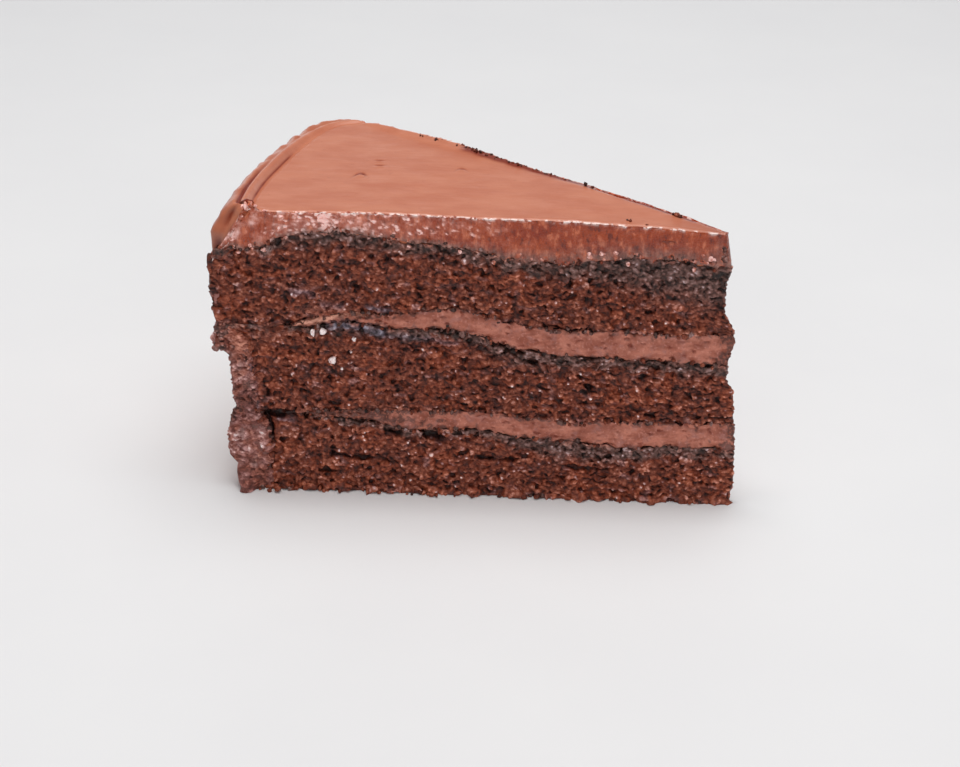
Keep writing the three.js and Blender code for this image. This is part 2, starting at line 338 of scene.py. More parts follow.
def coat_outer_radius(turn, height):
    phase = 2 * math.pi * (height - coat_wave_peak) / coat_wave_length
    fade = 1 - smooth_step(coat_wave_fade_from, coat_wave_fade_to, height)
    foot = foot_undercut * (1 - smooth_step(0, foot_height, height))
    wave = coat_wave * np.cos(phase + math.pi * turn) * fade
    return rim_at(turn) - drawn_in(turn, height) + wave - foot


def coat_inner_radius(turn, height):
    over_lower = smooth_step(coat_steps["lower_from"], coat_steps["lower_to"], height)
    over_upper = smooth_step(coat_steps["upper_from"], coat_steps["upper_to"], height)
    lower = mix(cake_rims["cake_bottom"], cake_rims["cake_middle"], over_lower)
    return mix(lower, cake_rims["cake_top"], over_upper) + gap - corner_set_back_at(turn)


def frosting_top_at(radius, turn):
    inset = shoulder_start_at(turn) - radius
    ridge = bead_height * hump(inset - bead_inset, bead_width)
    hollow = groove_depth * hump(inset - groove_inset, groove_width)
    fade = 1 - ridge_fade * smooth_step(ridge_fade_from, ridge_fade_to, turn)
    knob = knob_height * hump(inset - bead_inset, knob_width) * front_share(turn)
    return profile_at(frosting_top, radius - tip_radius) + (ridge - hollow) * fade + knob


# ---- Meshes ----
def block_lattice(steps):
    """The surface of a block of steps (along, across, up): its lattice points and its faces."""
    shape = tuple(step + 1 for step in steps)
    on_surface = np.zeros(shape, bool)
    for axis in range(3):
        for level in (0, steps[axis]):
            index = [slice(None)] * 3
            index[axis] = level
            on_surface[tuple(index)] = True
    numbers = np.full(shape, -1)
    numbers[on_surface] = np.arange(on_surface.sum())
    faces = []
    for axis in range(3):
        first, second = (axis + 1) % 3, (axis + 2) % 3
        for level in (0, steps[axis]):
            sheet = np.take(numbers, level, axis=axis)
            if first > second:
                sheet = sheet.T
            quads = np.stack([sheet[:-1, :-1], sheet[1:, :-1], sheet[1:, 1:], sheet[:-1, 1:]], axis=-1)
            quads = quads.reshape(-1, 4)
            faces.append(quads[:, ::-1] if level > 0 else quads)
    return np.argwhere(on_surface), np.concatenate(faces)


def point_normals(points, faces):
    corners = points[faces]
    face_normals = np.cross(corners[:, 2] - corners[:, 0], corners[:, 3] - corners[:, 1])
    normals = np.zeros_like(points)
    for corner in range(4):
        np.add.at(normals, faces[:, corner], face_normals)
    return normals / np.maximum(np.linalg.norm(normals, axis=1, keepdims=True), 1e-9)


back_corner_local = wedge_point(np.array([tip_radius]), np.array([1.0]), np.array([0.0]))[0]
front_corner_local = wedge_point(np.array([tip_radius]), np.array([0.0]), np.array([0.0]))[0]


def local_origin_in_frame():
    """The cake's axis in the part's frame, in metres, from the base's corner that reaches furthest."""
    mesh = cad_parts["cake_bottom"].data
    points = np.array([vertex.co for vertex in mesh.vertices])
    on_base = points[points[:, 2] < 1e-5]
    furthest = on_base[np.argmax(on_base[:, 0])]
    return furthest - back_corner_local * MM


origin = local_origin_in_frame()


def to_frame(points):
    return points * MM + origin


def make_piece(name, points, faces, material, attributes):
    """A piece of the slice; a value that its material reads and its attributes lack counts as 0."""
    mesh = bpy.data.meshes.new(name)
    mesh.from_pydata(to_frame(points), [], faces)
    mesh.shade_smooth()
    for attribute_name, values in attributes.items():
        attribute = mesh.attributes.new(attribute_name, "FLOAT", "POINT")
        attribute.data.foreach_set("value", np.asarray(values, np.float32))
    mesh.materials.append(material)
    piece = bpy.data.objects.new(name, mesh)
    bpy.context.scene.collection.objects.link(piece)
    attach(piece, "root")
    return piece


def graded_turns(end):
    """Turns of the lines across a layer, close together at both cuts."""
    near = np.array(across_lines) / (end * wedge_angle)
    return np.concatenate([near, [0.5], 1 - near[::-1]])


# ---- Relief ----
crumb_bite, crumb_over, crumb_over_reach = 0.25, 1.5, 1.2
# Heights between which the crumb of the front cut reaches over the coat, and the radii where it stands out.
over_coat_starts, over_coat_ends = (38, 41), (57, 59)
coat_lap, coat_lap_radii = 0.5, (111.5, 113)
foot_spread = 1.2
cake_fineness, filling_rows = 1.1, 20
# Radii over which a filling's ends turn into torn crumb, and over which crumb is smeared into it.
torn_rim_radii, torn_tip_radii = (72, 84), (4.0, 7.0)
dirty_radii, end_dirty_radii, dirty_tip_radii = (55, 85), (74, 80), (2.5, 6.5)
tip_dirt = 0.9


def tip_out_at(radius, height):
    """How far the torn tip stands out."""
    return np.interp(height, tip_heights, tip_outs) * np.exp(-(radius - tip_radius) / tip_reach)


def room_inwards(radius):
    """How deep a cut's relief may go before it meets the other cut's, near the tip."""
    return 0.7 * radius * math.tan(wedge_angle / 2)


def along_strokes(radius, height, strokes):
    """How strongly the strokes of a cut reach each place, by the strongest of them."""
    place = np.stack([radius, height], axis=1)
    wobble = np.stack([radius, np.zeros_like(radius), height], axis=1)
    wander = 0.35 * noise(wobble, 1.6, 71)
    total = np.zeros_like(radius)
    for start_radius, start_height, end_radius, end_height, half_width, strength in strokes:
        start = np.array([start_radius, start_height])
        run = np.array([end_radius, end_height]) - start
        share = np.clip(((place - start) @ run) / (run @ run), 0, 1)
        distance = np.linalg.norm(place - start - share[:, None] * run, axis=1)
        total = np.maximum(total, strength * hump(distance + wander * half_width, half_width))
    return total


def crumb_relief(points, seed):
    """Height of torn crumb over its cut, how light each point is, and where a pale speck of painted glint
    lies.
    """
    bent = warped(points, 1.8, seed + 20, 0.45)
    lumps = noise(bent, (4.5, 4.5, 2.6), seed)
    knots = noise(bent, (1.6, 1.6, 1.0), seed + 1)
    fine = noise(bent, (0.7, 0.7, 0.5), seed + 2)
    holes = smooth_step(0.3, 0.52, noise(bent, (1.4, 1.4, 0.85), seed + 3) + 0.15 * fine)
    hollows = smooth_step(0.5, 0.75, noise(bent, (3.8, 3.8, 1.4), seed + 4))
    near, number = cell_distance(bent, (1.15, 1.15, 0.85), seed + 5)
    grains = 0.5 - smooth_step(0.15, 0.8, near)
    glint_near, glint_number = cell_distance(points, (0.9, 0.9, 0.75), seed + 6)
    glint_specks = smooth_step(0.45, 0.2, glint_near) * (glint_number > 0.9)
    height = 0.3 * lumps + 0.18 * knots + 0.1 * fine + 0.55 * grains * (0.5 + number) + 0.15 * glint_specks
    height -= 0.6 * holes + 0.6 * hollows
    # The tone darkens holes and hollows, a painted shade in them, and lightens grain tops, a painted
    # highlight, over the crumb's own uneven tone.
    tone = 0.5 + 0.1 * lumps + 0.12 * knots + 0.14 * fine + 0.4 * grains + 0.26 * (number - 0.5)
    tone += 0.3 * glint_specks - 0.4 * holes - 0.35 * hollows
    return height, np.clip(tone, 0, 1), glint_specks


def cake_end(turn, height):
    """Radius where a crumb layer ends: a little into the coat, and further over its edge at the front cut."""
    front = 1 - smooth_step(0, crumb_over_reach, from_cut(rim_radius, turn, 0))
    beside_top = smooth_step(*over_coat_starts, height) * (1 - smooth_step(*over_coat_ends, height))
    return coat_inner_radius(turn, height) + crumb_bite + crumb_over * front * beside_top


def layer_block(end, rows):
    """The block of a layer up to a radius: its faces, and each point's radius, turn and share of the height.

    Also tells which points lie on a cut or at the tip, and which of them lie on the front cut.
    """
    radii = np.linspace(tip_radius, end, round((end - tip_radius) / grid) + 1)
    turns = graded_turns(end)
    cells, faces = block_lattice((len(radii) - 1, len(turns) - 1, rows))
    along, across, up = cells.T
    torn = (across == 0) | (across == len(turns) - 1) | (along == 0)
    return faces, radii[along], turns[across], up / rows, torn, across == 0


def front_strokes(front, radius, height, *kinds):
    """How strongly each kind of stroke reaches the points of the front cut, and 0 elsewhere."""
    totals = np.zeros((len(kinds), len(radius)))
    for total, strokes in zip(totals, kinds):
        total[front] = along_strokes(radius[front], height[front], strokes)
    return totals


def cake_layer(name, underside, top, painted_light_lift=0.0):
    """One crumb layer: a block whose cuts and ends are torn into grains and pores. A lift paints its crumb
    lighter, as painted light.
    """
    end, seed = cake_rims[name], 10 * crags[name][1]
    middle_radius, middle_turn = np.array([end / 2]), np.array([0.0])
    thick = (top(middle_radius, middle_turn) - underside(middle_radius, middle_turn))[0]
    faces, plain_radius, turn, share, torn, front = layer_block(end, round(cake_fineness * thick / grid))
    torn |= plain_radius == end
    plain_height = mix(underside(plain_radius, turn), top(plain_radius, turn), share)
    radius = draw_in(plain_radius, end, end - cake_end(turn, plain_height))
    low, high = underside(radius, turn), top(radius, turn)
    height = mix(low, high, share)
    points = push_cuts(wedge_point(radius, turn, height), radius, turn, name)
    normals = point_normals(points, faces)

    def waves(size, shift):
        """Noise at the points where they lie by then."""
        return noise(points, size, seed + shift)

    relief, tone, glint_specks = np.zeros((3, len(points)))
    relief[torn], tone[torn], glint_specks[torn] = crumb_relief(points[torn], seed)
    crevice, cream, cool = front_strokes(front, radius, height, front_crevices, cream_streaks, cool_streaks)
    over_coat = coat_lap * smooth_step(*coat_lap_radii, radius) * front
    foot = foot_spread * hump(height, 1.1) * (1 + waves(3.0, 15))
    # Gaps where the crumb has come away from the cream, painted darker as shade in them, and cream smeared
    # over its edge.
    to_cream = np.minimum(high - height, np.where(low > 1, height - low, 9))
    edge_noise = waves((2.4, 2.4, 3), 16)
    gaps = smooth_step(0.15, 0.5, edge_noise) * hump(to_cream, 0.55) * torn
    smeared = np.maximum(smooth_step(0.0, 0.5, -edge_noise) * hump(to_cream, 0.8) * torn, cream)
    relief += foot + over_coat - crevice - gaps + 0.3 * cream + 0.2 * cool
    relief = np.maximum(relief, -room_inwards(radius))
    # The underside and the top keep their height, and only their edges are torn.
    normals[:, 2] *= np.where((share == 0) | (share == 1), 0, 1)
    points = points + normals * relief[:, None]
    points[:, 0] += tip_out_at(radius, height)
    points[:, 2] = np.maximum(points[:, 2], 0)

    thickness = profile_at(crusts[name], radius - tip_radius)
    if name == "cake_top":
        thickness = np.maximum(0.1, thickness * (1 - hump(radius - bare_radius, bare_reach)))
    uneven = 1.5 * waves((4, 4, 2), 9) + 0.8 * waves(1.2, 10)
    shade = 0.16 * waves((5, 5, 2.4), 14) + 0.14 * waves((2.2, 2.2, 1.5), 17)
    # Crevices and gaps are painted darker: painted shade in them.
    tone = np.clip(tone + shade + painted_light_lift, 0, 1) * (1 - np.clip(crevice, 0, 1)) * (1 - 0.8 * gaps)
    attributes = {
        "tone": tone,
        "crust": 1 - smooth_step(0.35 * thickness, 1.15 * thickness, high - height + uneven),
        "warm": smooth_step(-0.2, 0.6, waves((8, 8, 4), 11) + 0.7 * waves((2.6, 2.6, 1.6), 12)),
        "pale": np.maximum(0.6 * smooth_step(0.3, 0.7, waves((2.8, 2.8, 1.6), 13)), glint_specks),
        "smear": smeared, "cool": cool,
    }
    piece = make_piece(name + "_crumb", points, faces, crumb_material, attributes)
    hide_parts(name)


def filling_layer(name):
    """A layer of cream: smooth where the knife dragged it, with crumbs smeared into it."""
    filling, seed = fillings[name], 10 * crags[name][1]
    faces, radius, turn, share, torn, front = layer_block(filling_reach + filling_end_taper - 1, filling_rows)
    low, high = (filling_surface(name, side, radius, turn) for side in (-1, 1))
    height = mix(low, high, share)
    points = push_cuts(wedge_point(radius, turn, height), radius, turn, name)
    normals = point_normals(points, faces)

    def waves(size, shift):
        """Noise at the points where they lie by then."""
        return noise(points, size, seed + shift)

    swell = 0.35 * (1 - (2 * share - 1) ** 2) - 0.15
    drag = 0.22 * waves((7, 7, 1.2), 0) + 0.2 * waves((2.2, 2.2, 1.5), 1)
    # Pits sink into the cream and are painted darker, as shade in them.
    pits = smooth_step(0.38, 0.6, waves((1.7, 1.7, 0.8), 3))
    relief = np.where(torn, swell + drag + 0.09 * waves(0.7, 2) - 0.35 * pits, 0)
    # Both ends are torn like crumb.
    at_end = smooth_step(*torn_rim_radii, radius) + 1 - smooth_step(*torn_tip_radii, radius)
    ending = torn & (at_end > 0)
    crumby = crumb_relief(points[ending], seed + 5)[0]
    relief[ending] += at_end[ending] * (0.8 * crumby - 0.1)
    relief = np.maximum(relief, -room_inwards(radius))
    points = points + normals * relief[:, None]
    points[:, 0] += tip_out_at(radius, height)

    edge = 1 - np.minimum(1, np.minimum(height - low, high - height) / 1.1)
    dirty = filling["dirty"] * smooth_step(*dirty_radii, radius)
    dirty += filling["end_dirty"] * smooth_step(*end_dirty_radii, radius)
    dirty += tip_dirt * (1 - smooth_step(*dirty_tip_radii, radius))
    smear = smooth_step(0.45, 0.85, waves((1.6, 1.6, 1.2), 4) + 0.75 * edge + dirty)
    clean, cool = front_strokes(front, radius, height, cream_streaks, cool_streaks)
    attributes = {"smear": smear * (1 - np.clip(clean, 0, 1)), "pits": pits, "cool": cool, "clean": clean}
    piece = make_piece(name + "_cream", points, faces, filling_material, attributes)
    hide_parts(name)


# ---- Frosting ----
slab_step, rim_step, fine_rim_depth = 0.42, 0.2, 8.0
shoulder_steps, coat_rows, through_rows = 18, 65, 28
frosting_near_lines = [0, 0.12, 0.3, 0.55, 0.85, 1.2, 1.7, 2.4, 3.2]
lobe_lines = [2.0, 2.8, 3.7, 4.2, 5.3]
frosting_line_step = 1.6
dent_lines, dent_line_step = 3, 0.007

# Dents in the top, painted darker as shade in them: radius, turn, half length, half width, depth, and how far
# each one bends.
top_dents = [
    (87.2, 0.46, 1.3, 0.6, 0.4, 1.5),
    (86.8, 0.638, 0.9, 0.4, 0.25, 0),
    (85.3, 0.582, 0.95, 0.4, 0.25, 0),
    (67.8, 0.735, 1.1, 0.5, 0.2, 1.0),
]

# The crease between the bead and the shoulder, strongest beside the front cut, and painted darker as shade in
# it.
crease_depth, crease_past, crease_width, crease_fade_from, crease_fade_to = 0.8, 0.35, 0.45, 0.15, 0.5
crease_start = 0.012

# The edge of the top along the back cut stands up and out, at radii going outwards.
back_edge_radii = [20, 32, 45, 55, 68, 80, 90, 98, 106]
back_edge_rises = [-0.2, -0.5, 0.1, 0.4, 0.9, 1.1, 0.9, 0.8, 0.5]
back_edge_width = 1.1

# The dark line along the back edge of the top: its inset near the tip and further out, and its width.
back_line_insets, back_line_widths, back_line_from, back_line_to = (0.9, 0.6), (0.75, 1.15), 38, 48
back_line_start, back_line_end = 11, 76

# Lobes and folds of the shoulder just behind the front cut, the folds painted darker as shade in them:
# distance from the cut, height, half width, half height, and how far each one stands out.
coat_lobes = [
    (4.9, 62.0, 4.6, 4.0, 1.6), (0.35, 62.0, 0.3, 3.4, -0.4), (1.0, 62.5, 0.5, 3.6, 0.35),
    (1.9, 66.2, 0.45, 2.4, -0.9), (2.1, 59.2, 0.7, 2.2, -1.0), (2.9, 61.6, 0.9, 1.2, 0.45),
]

# Knobs of frosting on the shoulder: turn, half width along the rim, height.
shoulder_knobs = [
    (0.72, 1.0, 0.7), (0.83, 0.9, 0.8), (0.9, 1.0, 0.7), (0.62, 1.6, 0.4), (0.35, 1.8, 0.35), (0.2, 1.2, 0.3),
]

# How deep and how wide the edges between the top and the cuts are rounded: on the slab, and at its rim end.
edge_depths, edge_widths, rim_end_radii = (0.35, 1.1), (0.8, 1.7), (101, 106)

# The top is darker towards the tip.
tip_darkening_share, tip_darkening_radii = 0.38, (4, 19)

# Heights over which the cut through the coat turns into the cut through the slab.
slab_heights = (52, 58)

# Where the cut's foam is thickest, and where it ends towards the rim.
foam_middle, foam_reach, foam_end_from, foam_end_to = 88.0, 11.0, 100.5, 104.0

# Slits in the front cut of the frosting, given as the crevices are, and painted darker as shade in them.
frosting_slits = [(16.0, 63.9, 13.4, 64.1, 0.2, 1.0), (2.8, 62.0, 4.6, 60.6, 0.5, 0.5)]


def frosting_turns():
    """Turns across the frosting: close together at the cuts and at the dents in the top."""
    width = rim_radius * wedge_angle
    near = np.array(frosting_near_lines)
    middle = np.arange(near[-1], width - near[-1], frosting_line_step)[1:]
    at_dents = [dent[1] + dent_line_step * np.arange(-dent_lines, dent_lines + 1) for dent in top_dents]
    at_lobes = np.array(lobe_lines) / width
    return np.unique(np.concatenate([near / width, at_lobes, middle / width, 1 - near / width] + at_dents))


def dent_depth(points):
    total = np.zeros(len(points))
    for radius, turn, half_length, half_width, depth, curve in top_dents:
        place = wedge_point(np.array([radius]), np.array([turn]), np.array([frosting_top[-1]]))[0]
        across = points[:, 0] - place[0]
        deep = points[:, 1] - place[1] + curve * (across / half_length) ** 2
        total += depth * hump(across, half_length) * hump(deep, half_width)
        total -= 0.5 * depth * hump(across, half_length) * hump(deep + 2.2 * half_width, half_width)
    return total


def back_line_at(points, radius, turn):
    """The dark line along the back edge of the top."""
    share = smooth_step(back_line_from, back_line_to, radius)
    inset = mix(*back_line_insets, share) + 0.2 * noise(points, 2.5, 86)
    window = smooth_step(back_line_start - 2, back_line_start, radius)
    window *= 1 - smooth_step(back_line_end - 3, back_line_end, radius)
    return window * hump(from_cut(radius, turn, 1) - inset, mix(*back_line_widths, share))


def crease_at(turn, past):
    """How strong the crease is, by the distance past the shoulder's start."""
    along = smooth_step(0, crease_start, turn) - 0.9 * smooth_step(crease_fade_from, crease_fade_to, turn)
    return hump(past - crease_past, crease_width) * along


def top_relief(points, radius, turn, past):
    swell = 0.045 * noise(points, (14, 7, 9), 81) + 0.02 * noise(points, (3.5, 2.2, 4), 82)
    lines = 0.2 * back_line_at(points, radius, turn) + crease_depth * crease_at(turn, past)
    return swell - dent_depth(points) - lines


def coat_lobes_at(points, turn):
    """How far the lobes stand out, and how deep the folds between them are."""
    lobes, folds = np.zeros(len(points)), np.zeros(len(points))
    for distance, height, half_width, half_height, out in coat_lobes:
        near = hump(turn * wedge_angle * rim_radius - distance, half_width)
        near = near * hump(points[:, 2] - height, half_height)
        lobes += max(out, 0) * near
        folds += max(-out, 0) * near
    return lobes, folds


def painted_shade_and_crumb_line_at(points, radius, turn, bend, past):
    """Where the cream is painted darker: painted shade in the groove, crease, folds and dents, the dark crumb
    line by the back edge, and darker towards the tip.
    """
    groove = hump(shoulder_start_at(turn) - groove_inset - radius, 0.32 * groove_width)
    groove *= (1 - smooth_step(0.45, 0.7, turn)) * (0.75 + 0.5 * noise(points, 4, 87))
    folds = 1.1 * coat_lobes_at(points, turn)[1] * (bend > 0)
    dents = 4 * np.maximum(0, dent_depth(points)) * (bend == 0)
    back_line = 1.4 * back_line_at(points, radius, turn) * (bend == 0)
    tip_darkening = tip_darkening_share * (1 - smooth_step(*tip_darkening_radii, radius)) * (bend == 0)
    return 1.3 * groove + 1.8 * crease_at(turn, past) + folds + dents + back_line + tip_darkening


def coat_relief(points, turn, bend, past):
    """The rim's surface: knife streaks round the rim, the creases, and knobs along the shoulder."""
    swirl = 0.14 * noise(points, (26, 26, 1.6), 83) + 0.2 * noise(points, (12, 12, 3.5), 84)
    wavy = (0.45 * noise(points, (5, 5, 4), 90) + 0.35 * noise(points, 2.0, 91)) * np.sin(2 * bend)
    knobs = np.zeros(len(points))
    for knob_turn, half_width, height in shoulder_knobs:
        along = (turn - knob_turn) * wedge_angle * rim_radius
        knobs += height * hump(along, half_width) * hump(bend - 0.45, 0.4)
    lobes, folds = coat_lobes_at(points, turn)
    return swirl + wavy + knobs + lobes - folds - crease_depth * crease_at(turn, past)


def foot_blob_at(radius, height):
    return foot_blob_out * hump(radius - foot_blob_radius, foot_blob_width) * hump(height, foot_blob_height)


def frosting_cut_relief(points, radius, height, high, seed):
    """The cut through the frosting: dragged smooth near the tip, lumpy and full of bubbles near the rim.

    Also gives how much pale foam with painted glints shows at each point, and how strongly the cut's upper
    edge gets a painted highlight.
    """
    def waves(size, shift):
        return noise(points, size, seed + shift)

    on_slab = smooth_step(*slab_heights, height)
    clumps = waves((6, 6, 3.2), 8) + 0.5 * waves((2.2, 2.2, 1.8), 7)
    thick = hump(radius - foam_middle, foam_reach)
    rim_end = smooth_step(foam_end_from, foam_end_to, radius)
    foamy = smooth_step(44, 86, radius + 24 * clumps + 8 * hump(high - height, 3.0) + 12 * thick) * on_slab
    foamy *= 1 - 0.7 * rim_end
    knife = 0.14 * waves((9, 9, 0.9), 0) + 0.08 * waves((2.5, 2.5, 0.7), 1)
    drips = 0.35 * waves((1.4, 1.4, 4.5), 9) * smooth_step(30, 60, radius)
    near, number = cell_distance(warped(points, 1.4, seed + 10, 0.5), (0.85, 0.85, 0.8), seed + 2)
    bubbles = smooth_step(0.7, 0.15, near) * smooth_step(0.2, 0.9, number)
    strewn = 0.35 + 0.9 * smooth_step(-0.25, 0.3, waves((2.6, 2.6, 2.2), 14)) + 0.4 * thick
    bumps = 0.3 * waves((2.2, 2.2, 1.5), 3) + 0.5 * bubbles * strewn
    smears = smooth_step(0.05, 0.5, waves((3.0, 3.0, 1.4), 15)) * thick * on_slab
    milky_sheen = smooth_step(-0.1, 0.5, waves((4, 4, 3), 16)) * rim_end * on_slab
    # Foam: pale cream bubbles, with a painted sheen and painted glints of the wet cut mixed in.
    foam_and_painted_glints = foamy * (0.16 + 0.24 * thick + 1.5 * bubbles * strewn) + 0.5 * smears + 0.7 * milky_sheen
    lumps = 0.45 * waves((3, 3, 2.4), 4) + 0.16 * waves(1.1, 5)
    # The cut's raised upper edge, which also takes a painted highlight.
    edge = (0.7 + 1.2 * waves((1.3, 3, 3), 6)) * hump(high - height, 0.55)
    slab = knife + drips + foamy * bumps + 0.3 * edge
    return mix(lumps, slab, on_slab), foam_and_painted_glints, np.clip(edge, 0, 1) * on_slab


def frosting():
    shoulder_start = rim_radius - shoulder
    coarse = np.arange(tip_radius, shoulder_start - fine_rim_depth, slab_step)
    fine = np.linspace(shoulder_start - fine_rim_depth, shoulder_start, round(fine_rim_depth / rim_step) + 1)
    slab_radii = np.concatenate([coarse, fine])
    slab_steps = len(slab_radii) - 1
    turns = frosting_turns()
    cells, faces = block_lattice((slab_steps + shoulder_steps + coat_rows, len(turns) - 1, through_rows))
    along, across, up = cells.T
    turn = turns[across]
    share = up / through_rows

    # Along the slab, its underside and its top.
    inner_end = coat_inner_radius(turn, np.full(len(turn), frosting_underside[-1])) - inner_shoulder
    slab_radius = slab_radii[np.minimum(along, slab_steps)]
    inner_radius = draw_in(slab_radius, shoulder_start, shoulder_start - inner_end)
    outer_radius = draw_in(slab_radius, shoulder_start, shoulder_start - shoulder_start_at(turn))
    inner_height = frosting_underside_at(inner_radius, turn)
    outer_height = frosting_top_at(outer_radius, turn)

    # Round the shoulder and down the coat, its inner and its outer face.
    bend = np.clip((along - slab_steps) / shoulder_steps, 0, 1) * math.pi / 2
    drop = np.maximum(0, (along - slab_steps - shoulder_steps) / coat_rows)
    outer_top = frosting_top_at(shoulder_start_at(turn), turn) - shoulder
    coat_outer_height = (outer_top + shoulder * np.cos(bend)) * (1 - drop)
    inner_top = frosting_underside_at(inner_end, turn) - inner_shoulder
    coat_inner_height = (inner_top + inner_shoulder * np.cos(bend)) * (1 - drop)
    outward = np.sin(bend) - 1
    from_front = from_cut(rim_radius, turn, 0)
    uneven = np.interp(coat_outer_height, coat_heights, coat_outs) * hump(from_front, coat_reach)
    set_back = np.interp(coat_outer_height, shoulder_cut_heights, shoulder_cut_outs)
    uneven += set_back * hump(from_front, shoulder_cut_reach)
    on_coat = along > slab_steps
    coat_inner = coat_inner_radius(turn, coat_inner_height) + inner_shoulder * outward
    coat_outer = coat_outer_radius(turn, coat_outer_height) + shoulder * outward + uneven
    inner_radius = np.where(on_coat, coat_inner, inner_radius)
    inner_height = np.where(on_coat, coat_inner_height, inner_height)
    outer_radius = np.where(on_coat, coat_outer, outer_radius)
    outer_height = np.where(on_coat, coat_outer_height, outer_height)

    radius = mix(inner_radius, outer_radius, share)
    height = mix(inner_height, outer_height, share)
    points = push_cuts(wedge_point(radius, turn, height), radius, turn, "frosting")
    normals = point_normals(points, faces)

    # Relief of the outside.
    outside = up == through_rows
    on_top = outside & ~on_coat
    past = np.where(on_coat, shoulder * bend, radius - shoulder_start_at(turn))
    round_rim = np.where(outside, coat_relief(points, turn, bend, past), 0)
    relief = np.where(on_top, top_relief(points, radius, turn, past), round_rim)
    edge_drop = np.minimum(from_cut(radius, turn, 0), from_cut(radius, turn, 1))
    at_rim = smooth_step(*rim_end_radii, radius)
    rounding = mix(*edge_depths, at_rim) * np.clip(1 - edge_drop / mix(*edge_widths, at_rim), 0, 1) ** 2
    rise = np.interp(radius, back_edge_radii, back_edge_rises)
    rise *= hump(from_cut(radius, turn, 1), back_edge_width)
    points = points + normals * relief[:, None]
    points[:, 2] += np.where(outside, (rise - rounding) * np.cos(bend), 0)
    points[:, 2] = np.maximum(points[:, 2], 0)

    # Relief of the cuts.
    foam_and_painted_glints, slits = np.zeros(len(points)), np.zeros(len(points))
    # A painted highlight along the top's edges by the cuts.
    painted_glint = mix(0.55, 0.25, turn) * hump(edge_drop, 0.24) * on_top * (1 - at_rim)
    on_front, on_back = across == 0, across == len(turns) - 1
    for cut, chosen in ((0, on_front), (1, on_back)):
        out, foam_and_painted_glints[chosen], painted_glint[chosen] = frosting_cut_relief(
            points[chosen], radius[chosen], height[chosen], outer_height[chosen], 92 + 10 * cut)
        painted_glint[chosen] *= 1 - 0.6 * cut
        if cut == 0:
            slits[chosen] = along_strokes(radius[chosen], height[chosen], frosting_slits)
            out += foot_blob_at(radius[chosen], height[chosen]) - 0.5 * slits[chosen]
        out = np.maximum(out, -room_inwards(radius[chosen]))
        points[chosen] += out[:, None] * cut_direction(cut)
    points[:, 0] += tip_out_at(radius, height)

    # Where the knife has been: both cuts and the tip. The shoulder beside the front cut gets none of the
    # side's painted shade and gloss.
    cut = on_front | on_back | (along == 0)
    shoulder_by_front_cut = smooth_step(54, 58, height) * hump(from_front, coat_reach)
    soiled_reach = mix(3.0, 1.1, smooth_step(34, 62, radius)) + 3 * (1 - smooth_step(3, 7, radius))
    soiled = hump(height - inner_height, soiled_reach)
    attributes = {
        "cut": np.where(cut, 1.0, 0.0), "foam_and_painted_glints": foam_and_painted_glints, "painted_glint": painted_glint,
        "border": soiled * (height > 50) * cut,
        "lower": np.where(cut, 1 - smooth_step(50, 57, height), 0),
        # side: painted shade where the shoulder and coat face away from the lights, and more gloss there.
        "side": np.where(on_coat & ~cut, np.sin(bend) * (1 - shoulder_by_front_cut), 0),
        # Painted shade in the groove, crease, folds, dents and slits, and the crumb line's own dark colour.
        "painted_shade_and_crumb_line": np.where(outside & ~cut, painted_shade_and_crumb_line_at(points, radius, turn, bend, past), slits),
    }
    piece = make_piece("frosting_cream", points, faces, frosting_material, attributes)
    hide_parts("frosting")


# ---- Materials ----
cut_light = 0.66


def linear(red, green, blue):
    """A colour given as on a screen, from 0 to 255, as Blender's linear colour."""
    def channel(value):
        value /= 255
        return value / 12.92 if value <= 0.04045 else ((value + 0.055) / 1.055) ** 2.4
    return (channel(red), channel(green), channel(blue), 1)


def on_cut(red, green, blue):
    """The colour of a surface that shows as this on the cuts, which get less light than the top."""
    return tuple(channel / cut_light for channel in linear(red, green, blue)[:3]) + (1,)


